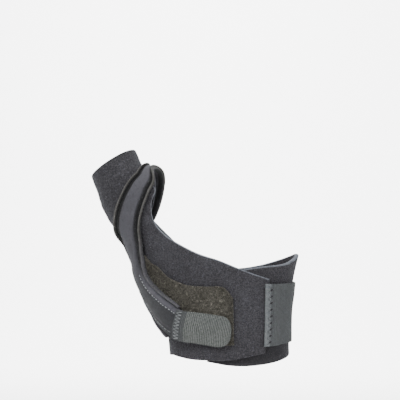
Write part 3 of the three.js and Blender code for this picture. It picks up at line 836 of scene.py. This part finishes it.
def strap_material(name, band, edge):
    """Smooth brushed elastic: a paler raised band, channels darkened with painted shade, a pale strip
    lightened further as painted light, and fine cross lines.
    """
    weave = {"Row": 0.00062, "Thread": 0.0008}

    def colour(net, group):
        face = net.mix(net.ramp(net.mark("band"), 0.0, 1.0), rgba(edge), rgba(band))
        # The pale strip, lightened past its own colour as painted light where the binding beside it casts
        # shade.
        face = net.over(face, rgba(band, 1.75), net.mark("strip"), 0.6)
        face = net.over(face, rgba(band, 1.5), group("ribs", **weave)["Rows"], 0.18)
        face = mottled(net, group, face, 70.0, (0.86, 0.86, 0.86))
        face = net.over(face, rgba(band, 1.5), group("knit", Scale=1300.0)["Grain"], 0.3)
        face = net.over(face, rgba(edge, 0.6), group("knit", Scale=900.0)["Flecks"], 0.25)
        # Painted shade in the channels beside the raised band.
        return net.over(face, rgba(edge, 0.22), net.mark("channel"), 0.95)

    def roughness(net, group):
        return net.ramp(group("wear")["Rub"], 0.0, 1.0, 0.92, 0.8)

    def height(net, group):
        return net.total((group("ribs", **weave)["Height"], 0.35), (net.noise(240.0, 3.0), 0.8))

    return new_material(name, colour, roughness, height, (0.4, 0.0005), 0.05)


def binding_material(name, base, end):
    """A folded woven tape with slanting threads and paler rubbed places, darkened down its rounded sides as
    painted shade so that its top stays pale, that fades into the strap's colour.
    """
    turns_along, turns_across = 5600.0, 2600.0

    def slant(net):
        place = net.add("ShaderNodeSeparateXYZ", {0: net.mark("cloth", "Vector")}).outputs
        turn = net.total((place[0], turns_along), (place[1], turns_across))
        return net.ramp(net.math("SINE", turn), -0.8, 0.9)

    def colour(net, group):
        face = net.mix(slant(net), rgba(base, 0.8), rgba(base, 1.1))
        face = net.over(face, rgba(base, 1.7), group("wear")["Rub"], 0.5)
        # Painted shade: the binding's rounded sides darken towards its borders, so that its top stays pale.
        face = net.mix(net.ramp(net.mark("cut"), 0.04, 0.5), face, rgba(base, 0.35))
        grain = net.mix(group("knit", Scale=1300.0)["Grain"], rgba(end, 0.8), rgba(end, 1.9))
        face = net.over(face, grain, net.mark("fade"), 0.75)
        return mottled(net, group, face, 60.0, (0.72, 0.72, 0.7))

    def roughness(net, group):
        return net.ramp(group("wear")["Rub"], 0.0, 1.0, 0.85, 0.68)

    def height(net, group):
        return net.total((slant(net), 0.5), (net.noise(1500.0, 2.0), 0.4))

    return new_material(name, colour, roughness, height, (0.5, 0.00025), 0.05)


def tape_material(name, base, row, contrast, sewn):
    """Ribbed hook tape: pale rows, dark pits between them, pale borders and a strip under its stitches."""
    weave = {"Row": row, "Thread": row * 0.8}

    def colour(net, group):
        grain = group("knit", Scale=1100.0)["Grain"]
        dots = group("ribs", **weave)["Dots"]
        face = net.mix(dots, rgba(base, 1 - contrast), rgba(base, 1 + 0.5 * contrast))
        face = mottled(net, group, face, 120.0, (0.86, 0.87, 0.87))
        face = net.over(face, rgba(base, 1.35), grain, 0.4)
        strip = net.mix(grain, rgba(sewn, 0.75), rgba(sewn, 1.2))
        face = net.over(face, strip, net.mark("sewn"), 0.8)
        return net.over(face, rgba(base, 1.6), group("rim", Start=0.5, End=1.0)["Edge"], 0.35)

    def roughness(net, group):
        return net.ramp(group("ribs", **weave)["Dots"], 0.0, 1.0, 0.9, 0.7)

    def height(net, group):
        return group("ribs", **weave)["Height"]

    return new_material(name, colour, roughness, height, (0.6, 0.00035))


def pile_material(name, base, tip):
    """Loop pile: dark between the loops, paler and warmer on single loops."""

    def colour(net, group):
        face = net.mix(net.mark("tint"), rgba(base), rgba(tip))
        face = mottled(net, group, face, 110.0, (0.7, 0.7, 0.66))
        face = net.over(face, rgba(tip, 1.1), group("knit", Scale=900.0)["Grain"], 0.3)
        return net.over(face, rgba(tip, 2.0), group("knit", Scale=1000.0)["Flecks"], 0.4)

    def roughness(net, group):
        return net.ramp(group("knit", Scale=900.0)["Grain"], 0.0, 1.0, 0.98, 0.85)

    def height(net, group):
        return group("knit", Scale=900.0)["Height"]

    return new_material(name, colour, roughness, height, (0.8, 0.0006), 0.05, (0.9, 0.88, 0.75))


def thread_material(name, base):
    """Twisted sewing thread."""

    def colour(net, group):
        face = net.mix(net.noise(2600.0, 2.0), rgba(base, 0.6), rgba(base, 1.3))
        return mottled(net, group, face, 150.0, (0.75, 0.75, 0.75))

    def roughness(net, group):
        return net.ramp(net.noise(1800.0, 2.0), 0.3, 0.7, 0.55, 0.75)

    def height(net, group):
        return net.noise(3200.0, 2.0)

    return new_material(name, colour, roughness, height, (0.4, 0.0002))


def colour_prop(name, description, default):
    """A colour that a user can change."""
    return bpy.props.FloatVectorProperty(
        name=name, description=description, default=default, size=3, min=0, max=1, subtype="COLOR"
    )


def length_prop(name, description, default, low, high):
    """A length in metres that a user can change."""
    return bpy.props.FloatProperty(
        name=name, description=description, default=default, min=low, max=high, unit="LENGTH", precision=5
    )


class SplintCloth(bpy.types.PropertyGroup):
    """Colours and sizes of the wrap, the sleeve and the loop pile."""

    dark: colour_prop("Dark", "Colour between the knit's stitches", (0.0105, 0.0102, 0.012))
    light: colour_prop("Light", "Colour on top of the knit's stitches", (0.037, 0.0353, 0.0405))
    # The foam's own colour at the cut borders, set paler than it as a painted highlight where light catches
    # them.
    foam: colour_prop("Foam", "Colour of the cut borders", (0.11, 0.12, 0.14))
    fleck: colour_prop("Fleck", "Colour of sparse pale fibres", (0.06, 0.059, 0.076))
    pile: colour_prop("Pile", "Colour between the loops", (0.018, 0.0168, 0.0135))
    pile_tip: colour_prop("Pile tip", "Colour of the palest loops", (0.105, 0.0985, 0.083))
    loop_height: length_prop("Loop height", "How far the pile's loops stand up", 0.0008, 0.0002, 0.002)
    border: length_prop("Border", "Rounding of the cut borders", 0.0009, 0.0003, 0.0012)


class SplintStraps(bpy.types.PropertyGroup):
    """Colours and sizes of the strap, its bindings, the tapes and the thread."""

    band: colour_prop("Band", "Colour of the strap's raised band", (0.0365, 0.0362, 0.0425))
    edge: colour_prop("Edge", "Colour of the strap beside its band", (0.0115, 0.0125, 0.0132))
    binding: colour_prop("Binding", "Colour of the bindings", (0.05, 0.0485, 0.0462))
    hook: colour_prop("Hook tape", "Colour of the strap's tab", (0.097, 0.105, 0.1))
    closure: colour_prop("Closure tape", "Colour of the closure tab", (0.0475, 0.0515, 0.054))
    thread: colour_prop("Thread", "Colour of the pale thread", (0.3, 0.32, 0.33))
    thread_size: length_prop("Thread size", "Thickness of the sewing thread", 0.0006, 0.0002, 0.001)
    rib: length_prop("Rib", "Spacing of the tape's ribs", 0.0009, 0.0005, 0.002)


class SplintStage(bpy.types.PropertyGroup):
    """The view of the splint."""

    width: length_prop("View width", "Width of the view at the splint", 0.238, 0.1, 1.0)
    lens: bpy.props.FloatProperty(
        name="Lens",
        description="Focal length of the camera",
        default=200.0,
        min=20,
        max=300,
        subtype="DISTANCE_CAMERA",
    )


# Sheets that later steps sew on, by a short name.
SHEETS = {}


def finish_sheet(obj, node):
    """A sheet takes the place of its plain node."""
    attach(obj, "root")
    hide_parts(node)


def finish_detail(obj):
    """A detail of a piece, such as its stitches, that takes no node's place."""
    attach(obj, "root")


class SPLINT_OT_wrap(bpy.types.Operator):
    """Build the cloth wrap round the wrist and the hand"""

    bl_idname = "splint.wrap"
    bl_label = "Wrap"

    def execute(self, context):
        cloth = context.scene.splint_cloth
        rim = cloth.border / MM
        grid, under, beneath = wrap_sheet(340, 70, rim)
        # Painted shade: the under layer's low part on the back of the hand, below the flap, darkens towards
        # the knit's dark colour and fades out upwards.
        shaded_below, fade = 4, 7
        shade = beneath[:, None] * (grid[..., 1] < 0) * smooth((shaded_below - grid[..., 2]) / fade)
        sheet = Sheet(grid, under, under + CLOTH, rim, ROUND_BORDER, marks={"shade": shade})
        # A painted highlight: the pale cut border reaches onto the upper face along the top border, where
        # light falls on the edge.
        highlight_width, soft = 1.5, 0.9
        to_top = sheet.across[:, -1:] - sheet.across
        sheet.cut = np.maximum(sheet.cut, 0.72 * smooth((highlight_width - to_top) / soft))
        material = cloth_material("wrap cloth", cloth.dark, cloth.light, cloth.foam, cloth.fleck, 1500.0)
        obj = sheet.build("wrap", material)
        finish_sheet(obj, "main_wrap")
        return {"FINISHED"}


class SPLINT_OT_sleeve(bpy.types.Operator):
    """Build the thumb sleeve and the seam that joins it to the wrap"""

    bl_idname = "splint.sleeve"
    bl_label = "Thumb sleeve"

    def execute(self, context):
        cloth = context.scene.splint_cloth
        rim = cloth.border / MM
        grid = sleeve_sheet(200, 44, rim)
        under = np.zeros(grid.shape[:2])
        sheet = Sheet(grid, under, under + CLOTH, rim, ROUND_BORDER, closed=True)
        light = [c * f for c, f in zip(cloth.light, (0.97, 0.99, 0.98))]
        # The sleeve's cut border takes a dimmer painted highlight.
        foam = [c * 0.6 for c in cloth.foam]
        material = cloth_material("sleeve cloth", cloth.dark, light, foam, cloth.fleck, 1300.0)
        obj = sheet.build("sleeve", material)
        finish_sheet(obj, "thumb_sleeve")
        return {"FINISHED"}


class SPLINT_OT_strap(bpy.types.Operator):
    """Build the strap that comes through the web and crosses to the wrist"""

    bl_idname = "splint.strap"
    bl_label = "Thumb strap"

    def flange(self, place):
        """How far the strap's cloth reaches under the bindings, from its fold to where they end."""
        full = fold_extra(place) + BINDING_GAP + BINDING_WIDTH * 0.8
        return full * smooth((strap_place(BINDING_END) - place) / 0.25)

    def profile(self, under, place, spread, flange):
        """Height of the upper face above the form, with the marks of the strap's parts.

        On the thumb a raised band runs between two channels. Lower down the strap is flat, and only a
        pale strip along the hand's side stands above the rest, behind a line of stitches.
        """
        flange_height, flattens_after, flattening_rows = 0.15, 9.2, 2.6
        lower = smooth((place - flattens_after) / flattening_rows)
        beside = np.abs(spread) / STRAP_BODY
        raised = smooth((0.8 - beside) / 0.22)
        # The channels' mark: painted shade in the recess between the raised band and each binding, on the
        # thumb part only.
        channel = np.exp(-(((beside - 0.92) / 0.14) ** 2)) * (1 - lower)
        flat_part = smooth((spread + 0.42) / 0.16)
        # The strip's mark lightens the pale strip past its own colour as painted light, against the shade
        # beside the binding.
        strip = smooth((spread - 0.5) / 0.1)
        body = 0.75 + (1 - lower) * 1.35 * raised + lower * (0.9 + 0.3 * flat_part)
        body = body - 0.25 * lower * np.exp(-(((spread - 0.48) / 0.05) ** 2))
        inside = np.where(flange > 0.05, smooth((0.84 - np.abs(spread)) / 0.06), 1)
        band = (1 - lower) * raised + lower * (0.15 + 0.85 * strip)
        over = under + flange_height + (body - flange_height) * inside
        return over, {"band": band * inside, "channel": channel, "strip": lower * strip}

    def execute(self, context):
        look = context.scene.splint_straps
        end = strap_place(STRAP_END)
        along = end * rim_places(170.0, 230, 0.4)[0]
        body = np.linspace(-STRAP_BODY, STRAP_BODY, 37)
        spread = np.concatenate([-FLANGE_EDGE[::-1], body, FLANGE_EDGE])
        place, spread = np.meshgrid(along, spread, indexing="ij")
        half = strap_half(place)
        flange = self.flange(place)
        beyond = np.clip((np.abs(spread) - STRAP_BODY) / (1 - STRAP_BODY), 0, 1) * flange
        share = np.clip(spread / STRAP_BODY, -1, 1) + np.sign(spread) * beyond / half
        lower_length, lean_length = 46, 5
        lean = np.clip(1 - (lower_length - lower_length * place / end) / lean_length, 0, 1)
        grid = leaning(place, half, share, lean)
        under = strap_under(grid, place)
        over, marks = self.profile(under, place, spread, flange)
        sheet = Sheet(grid, under - SEAT, over, 0.4, FLAT_BORDER, marks=marks)
        SHEETS["strap"] = sheet
        obj = sheet.build("strap", strap_material("strap elastic", look.band, look.edge))
        finish_sheet(obj, "thumb_strap")
        return {"FINISHED"}


class SPLINT_OT_bindings(bpy.types.Operator):
    """Build the two raised bindings beside the strap"""

    bl_idname = "splint.bindings"
    bl_label = "Strap bindings"

    def execute(self, context):
        look = context.scene.splint_straps
        end = strap_place(BINDING_END)
        along = end * rim_places(165.0, 230, 0.7)[0]
        share = np.linspace(0, 1, 13)
        place, share = np.meshgrid(along, share, indexing="ij")
        inner = strap_half(place) + BINDING_GAP + fold_extra(place)
        offset = inner + BINDING_WIDTH * share
        lift, fade_start, fade_rows = 0.2, 7.0, 3.5
        fade = smooth((place - fade_start) / fade_rows)
        material = binding_material("binding tape", look.binding, look.band)
        for sign, side in ((1, "hand_side"), (-1, "thumb_side")):
            spread = offset if sign > 0 else -offset[:, ::-1]
            grid = beside_strap(place, spread)
            under = strap_under(grid, place)
            over = under + BINDING_HEIGHT
            sheet = Sheet(grid, under + lift, over, 0.65, CIRCLE_BORDER, marks={"fade": fade})
            obj = sheet.build("binding_" + side, material)
            node = "strap_binding_" + side
            finish_sheet(obj, node)
        return {"FINISHED"}


def ribbed(sheet, spacing, height):
    """Raise rows across a tape, fading at its borders."""
    fade = np.clip(1 - sheet.cut * 1.5, 0, 1)
    wave = 0.5 + 0.5 * np.cos(2 * math.pi * sheet.along / spacing)
    sheet.top += sheet.normal * (height * wave * fade)[..., None]


class SPLINT_OT_tapes(bpy.types.Operator):
    """Build the two tabs of ribbed hook tape"""

    bl_idname = "splint.tapes"
    bl_label = "Hook tabs"
    rim = 0.45

    def strap_tab(self, look):
        """The sheet of the strap's tab, with a round tip, which steps down from the strap to the patch."""
        start, end = strap_place(TAB_START), strap_place(TAB_END)
        sewn = strap_place(STRAP_END) + LEAN_ROWS
        along = rim_places(33.0, 240, self.rim)[0]
        across = rim_places(18.0, 44, self.rim)[0] * 2 - 1
        place, share = np.meshgrid(start + (end - start) * along, across, indexing="ij")
        middle = on_form(table_point(STRAP_PATH, place[:, 0]))
        tip = np.clip(1 - np.linalg.norm(middle - middle[-1], axis=1) / TAB_ROUND, 0, 1)
        power, least = 2.5, 0.2
        half = strap_half(place) * np.maximum(least, (1 - tip**power) ** (1 / power))[:, None]
        straight_after = 5 / 17
        lean = np.clip(1 - (place - start) / (end - start) / straight_after, 0, 1)
        grid = leaning(place, half, share, lean)
        edge = on_form(table_point(STRAP_PATH, np.array([sewn])))
        past = np.where(place[:, 0] > sewn, np.linalg.norm(middle - edge, axis=1), 0)
        on_strap = 1 - smooth((past - LAYER_GAP - 0.4) / TAB_DROP)
        under = strap_under(grid, place) + (on_strap * (STRAP_CLOTH + LAYER_GAP))[:, None]
        sheet = Sheet(grid, under - SEAT * 0.9, under + HOOK_TAPE - 0.1, self.rim, FLAT_BORDER)
        ribbed(sheet, look.rib / MM, 0.13)
        sheet.marks["sewn"] = smooth((7.2 - sheet.along) / 0.9)
        return sheet

    def closure_tab(self, look):
        """The sheet of the closure tab, which steps down from the flap's end to the under layer."""
        grid = patch_grid(CLOSURE_COLUMNS, 170, 60, self.rim, 62.0)
        drop, done = CLOSURE_DROP
        past = (grid[..., 0] / HALF_BREADTH - drop) / (done - drop)
        on_flap = np.where(grid[..., 1] < 0, 1 - smooth(past), 0)
        under = CLOTH + LAYER_GAP + on_flap * (CLOTH + LAYER_GAP)
        sheet = Sheet(grid, under - SEAT, under + HOOK_TAPE, self.rim, FLAT_BORDER)
        ribbed(sheet, look.rib / MM, 0.06)
        sheet.marks["sewn"] = smooth((3.2 - sheet.along) / 0.5)
        return sheet

    def execute(self, context):
        look = context.scene.splint_straps
        tab, closure = self.strap_tab(look), self.closure_tab(look)
        SHEETS["tab"], SHEETS["closure"] = tab, closure
        sewn = [c * 3 for c in look.edge]
        material = tape_material("hook tape", look.hook, look.rib, 0.75, sewn)
        obj = tab.build("strap_tab", material)
        finish_sheet(obj, "strap_hook_tab")
        sewn = [c * 2.1 for c in look.closure]
        material = tape_material("closure tape", look.closure, look.rib, 0.4, sewn)
        obj = closure.build("closure_tab", material)
        finish_sheet(obj, "closure_hook_tab")
        return {"FINISHED"}


class SPLINT_OT_loops(bpy.types.Operator):
    """Build the loop patch and its pile"""

    bl_idname = "splint.loops"
    bl_label = "Loop patch"

    def execute(self, context):
        cloth = context.scene.splint_cloth
        rim, pile_depth = 0.6, 0.35
        grid = patch_grid(LOOP_PATCH_COLUMNS, 130, 60, rim, 66.0)
        under = climb(grid) + CLOTH + LAYER_GAP
        tint = np.random.default_rng(3).random(grid.shape[:2]) * 0.5
        over = under + LOOP_TAPE - pile_depth
        sheet = Sheet(grid, under - SEAT, over, rim, FLAT_BORDER, marks={"tint": tint})
        material = pile_material("loop pile", cloth.pile, cloth.pile_tip)
        obj = sheet.build("loop_base", material)
        finish_sheet(obj, "loop_patch")
        finish_detail(self.pile(sheet, cloth, material))
        return {"FINISHED"}

    def pile(self, sheet, cloth, material):
        """Small loops that stand on the patch in all directions."""
        rng = np.random.default_rng(11)
        columns, rows = sheet.grid.shape[:2]
        count, thread, past_half = 5400, 0.075, 0.15
        u, v = rng.uniform(2.0, columns - 3.0, count), rng.uniform(2.0, rows - 3.0, count)
        base, n = sheet.at(u, v)
        turn = rng.uniform(0, 2 * math.pi, count)[:, None]
        first = unit(np.cross(n, (0.3, 0.2, 1.0)))
        way = first * np.cos(turn) + np.cross(n, first) * np.sin(turn)
        lean = rng.normal(0, 0.22, (count, 1)) * np.cross(n, way)
        height = cloth.loop_height / MM * rng.uniform(0.5, 1.25, count)[:, None]
        width = rng.uniform(0.24, 0.46, count)[:, None]
        angle = np.linspace(-past_half, math.pi + past_half, 5)
        up = unit(n + lean)
        arc = np.cos(angle)[None, :, None] * (way * width)[:, None]
        paths = base[:, None] + arc + np.sin(angle)[None, :, None] * (up * height)[:, None]
        marks = {"tint": rng.random(count) ** 1.6}
        return tubes("loop_pile", paths, np.cross(way, up)[:, None], thread, material, 4, 0.8, marks)


def stitch_rise(t, depth, height):
    """Height along a stitch, from its depth in the cloth at one needle hole to the other."""
    return -depth + height * np.sin(math.pi * t) ** 0.6


def zigzag(sheet, near, far, start, end, legs):
    """Legs of a zig-zag stitch between two distances along a sheet, from one side to the other."""
    middle = sheet.grid.shape[1] // 2
    along, across = sheet.along[:, middle], sheet.across[sheet.grid.shape[0] // 2]
    corner = np.arange(legs + 1)
    u = np.interp(np.where(corner % 2, far, near), along, np.arange(len(along)))
    v = np.interp(start + (end - start) * corner / legs, across / across[-1], np.arange(len(across)))
    t = np.linspace(0, 1, 7)
    u = u[:-1, None] * (1 - t) + u[1:, None] * t
    v = v[:-1, None] * (1 - t) + v[1:, None] * t
    return sheet.at(u, v, stitch_rise(t, 0.12, 0.34) + np.zeros_like(u))


def running(sheet, share, first, last, stitch, gap):
    """Stitches in line along a sheet at a share of its width, between two distances in millimetres."""
    middle = sheet.grid.shape[1] // 2
    along, across = sheet.along[:, middle], sheet.across[sheet.grid.shape[0] // 2]
    start = np.arange(first, last - stitch, stitch + gap)[:, None]
    t = np.linspace(0, 1, 6)
    u = np.interp(start + stitch * t, along, np.arange(len(along)))
    v = np.interp(share, across / across[-1], np.arange(len(across))) + 0 * u
    return sheet.at(u, v, stitch_rise(t, 0.1, 0.28) + np.zeros_like(u))


class SPLINT_OT_stitches(bpy.types.Operator):
    """Sew zig-zag rows on the tabs and the strap's start, rows on the strap and the sleeve's flat seam"""

    bl_idname = "splint.stitches"
    bl_label = "Stitching"

    def sew(self, name, made, material, radius, slot):
        """Stitches as one detail, from their paths and the cloth's normals there."""
        paths, normals = made
        finish_detail(tubes(name, paths, normals, radius, material, 5, 0.5))

    def holes(self, name, made, material, slot):
        """Small dark needle holes at the ends of stitches."""
        paths, normals = made
        ends, n = paths[:, 0], normals[:, 0]
        depth, height, radius = 0.25, 0.17, 0.3
        axes = np.stack([ends - n * depth, ends + n * height], 1)
        across = unit(np.cross(n, (0.2, 0.3, 1.0)))[:, None]
        finish_detail(tubes(name, axes, across, radius, material, 8, 1.0))

    def flat_seam(self, spacing, reach):
        """Legs of the flat seam that joins the sleeve to the wrap, which reach to both sides of it."""
        end = 0.03
        place = np.linspace(end, LAST_SEAM_ROW - end, 2000)
        line = seam_points(place, 1, 0.0)
        run = np.concatenate([[0], np.cumsum(np.linalg.norm(np.diff(line, axis=0), axis=1))])
        corner = np.interp(np.arange(0, run[-1], spacing), run, place)
        t = np.linspace(0, 1, 7)
        legs = corner[:-1, None] * (1 - t) + corner[1:, None] * t
        side = np.where(np.arange(len(legs)) % 2, 1, -1)[:, None] * (1 - 2 * t)
        points = seam_points(legs, side, reach)
        normals = unit(form_normal(points, FOLD_ROUNDING))
        lift = CLOTH + ease(points) + stitch_rise(t, 0.1, 0.34)
        return points + normals * lift[..., None], normals

    def execute(self, context):
        look = context.scene.splint_straps
        radius = look.thread_size / MM / 2
        pale = thread_material("pale thread", look.thread)
        grey = thread_material("grey thread", [c * 0.45 for c in look.thread])
        charcoal = thread_material("charcoal thread", [c * 2.2 for c in context.scene.splint_cloth.light])
        matched = thread_material("tape thread", [c * 1.3 for c in look.closure])
        dark = thread_material("dark thread", (0.008, 0.008, 0.01))
        self.sew("sleeve_seam", self.flat_seam(0.95, 1.7), charcoal, radius * 0.8, "cloth")

        strap = SHEETS["strap"]
        made = zigzag(strap, 1.0, 3.6, 0.15, 0.85, 15)
        self.sew("strap_start_zigzag", made, charcoal, radius, "strap")

        made = zigzag(SHEETS["tab"], 1.0, 4.6, 0.04, 0.96, 17)
        self.sew("strap_tab_zigzag", made, grey, radius, "hook_tape")
        self.holes("strap_tab_needle_marks", made, dark, "hook_tape")

        made = zigzag(SHEETS["closure"], 1.1, 3.7, 0.03, 0.97, 18)
        self.sew("closure_tab_zigzag", made, matched, radius * 0.8, "hook_tape")
        marks = [part[::2, 3:] for part in made]
        self.sew("closure_tab_needle_marks", marks, dark, radius * 1.9, "hook_tape")

        length = strap.along[:, strap.grid.shape[1] // 2].max()
        first_flat_row = 9.8
        lower, end = length * first_flat_row / strap_place(STRAP_END), length - 1
        made = running(strap, 0.755, lower + 4, end, 1.3, 1.0)
        self.sew("strap_row_pale", made, pale, radius * 0.72, "strap")
        made = running(strap, 0.24, lower + 10, end, 1.7, 0.7)
        self.sew("strap_row_inner", made, grey, radius, "strap")
        for side, share in (("hand_side", 0.8), ("thumb_side", 0.2)):
            made = running(strap, share, 2, lower - 2, 1.7, 0.7)
            self.sew("strap_channel_" + side, made, dark, radius, "strap")
        return {"FINISHED"}


class SPLINT_OT_stage(bpy.types.Operator):
    """Set up the pale floor, the soft lights and the camera"""

    bl_idname = "splint.stage"
    bl_label = "Stage"

    def floor(self):
        """A floor that curves up into a backdrop."""
        back, front, bend, low, high, side = 3.4, -3.0, 0.9, -0.2, 4.0, 4.0
        steps = 16
        line = [(front, low), (back - bend, low)]
        for k in range(1, steps + 1):
            a = math.pi / 2 * k / steps
            line.append((back - bend + bend * math.sin(a), low + bend - bend * math.cos(a)))
        line.append((back, high))
        points = np.array([(x, y, z) for y, z in line for x in (-side, side)]) / MM
        faces = [[2 * k, 2 * k + 1, 2 * k + 3, 2 * k + 2] for k in range(len(line) - 1)]
        material = bpy.data.materials.new("pale floor")
        material.use_nodes = True
        net = Net(material.node_tree)
        shader = material.node_tree.nodes["Principled BSDF"]
        colour = net.mix(net.noise(6.0), (0.9, 0.9, 0.9, 1), (0.94, 0.94, 0.94, 1))
        net.tree.links.new(colour, shader.inputs["Base Color"])
        shader.inputs["Roughness"].default_value = 0.9
        obj = new_object("floor", points, faces, material)

    def studio(self, scene, strength):
        """Even white light from all round."""
        world = bpy.data.worlds.new("studio")
        scene.world = world
        world.use_nodes = True
        background = world.node_tree.nodes["Background"]
        background.inputs["Color"].default_value = (1.0, 1.0, 1.0, 1.0)
        background.inputs["Strength"].default_value = strength

    def camera(self, scene, centre):
        """A camera straight in front of the back of the hand."""
        stage, sensor = scene.splint_stage, 36.0
        camera = bpy.data.objects.new("camera", bpy.data.cameras.new("camera"))
        scene.collection.objects.link(camera)
        scene.camera = camera
        camera.data.lens = stage.lens
        camera.data.sensor_width = sensor
        camera.location = centre + Vector((0.0, -stage.width * stage.lens / sensor, 0.0))
        camera.rotation_euler = (math.pi / 2, 0.0, 0.0)

    def light(self, name, place, target, size, power):
        """A round soft light at a place, turned to its target."""
        data = bpy.data.lights.new(name, "AREA")
        data.shape, data.size, data.energy = "DISK", size, power
        obj = bpy.data.objects.new(name, data)
        obj.location = place
        obj.rotation_euler = (Vector(target) - Vector(place)).to_track_quat("-Z", "Y").to_euler()
        bpy.context.scene.collection.objects.link(obj)

    def execute(self, context):
        self.floor()
        middle = (-0.02, 0.0, 0.05)
        self.light("key", (-0.45, -0.75, 0.75), middle, 0.5, 14.5)
        self.light("fill", (0.7, -0.7, 0.25), middle, 0.7, 7.5)
        self.light("top", (0.05, 0.15, 1.0), middle, 0.6, 9.5)
        self.light("backdrop", (0.0, 2.2, 1.5), (0.0, 3.1, -0.1), 1.2, 190.0)
        self.studio(context.scene, 0.68)
        self.camera(context.scene, Vector((-0.0174, 0.0, 0.0798)))
        return {"FINISHED"}


STEPS = ("wrap", "sleeve", "strap", "bindings", "tapes", "loops", "stitches", "stage")


class SPLINT_PT_panel(bpy.types.Panel):
    """Lists the splint's steps in the sidebar"""

    bl_idname = "SPLINT_PT_panel"
    bl_label = "Thumb spica splint"
    bl_space_type = "VIEW_3D"
    bl_region_type = "UI"
    bl_category = "Splint"

    def draw(self, context):
        for step in STEPS:
            self.layout.operator("splint." + step)
        scene = context.scene
        for group in (scene.splint_cloth, scene.splint_straps, scene.splint_stage):
            box = self.layout.box()
            for name in group.bl_rna.properties.keys():
                if name not in ("rna_type", "name"):
                    box.prop(group, name)


CLASSES = (
    SplintCloth,
    SplintStraps,
    SplintStage,
    SPLINT_OT_wrap,
    SPLINT_OT_sleeve,
    SPLINT_OT_strap,
    SPLINT_OT_bindings,
    SPLINT_OT_tapes,
    SPLINT_OT_loops,
    SPLINT_OT_stitches,
    SPLINT_OT_stage,
    SPLINT_PT_panel,
)


def register():
    """Make the classes and their settings known."""
    for cls in CLASSES:
        bpy.utils.register_class(cls)
    bpy.types.Scene.splint_cloth = bpy.props.PointerProperty(type=SplintCloth)
    bpy.types.Scene.splint_straps = bpy.props.PointerProperty(type=SplintStraps)
    bpy.types.Scene.splint_stage = bpy.props.PointerProperty(type=SplintStage)


def unregister():
    """Take the classes and their settings away again."""
    del bpy.types.Scene.splint_cloth
    del bpy.types.Scene.splint_straps
    del bpy.types.Scene.splint_stage
    for cls in reversed(CLASSES):
        bpy.utils.unregister_class(cls)


def main():
    """Build the splint step by step."""
    register()
    for step in STEPS:
        getattr(bpy.ops.splint, step)()


if __name__ == "__main__":
    main()
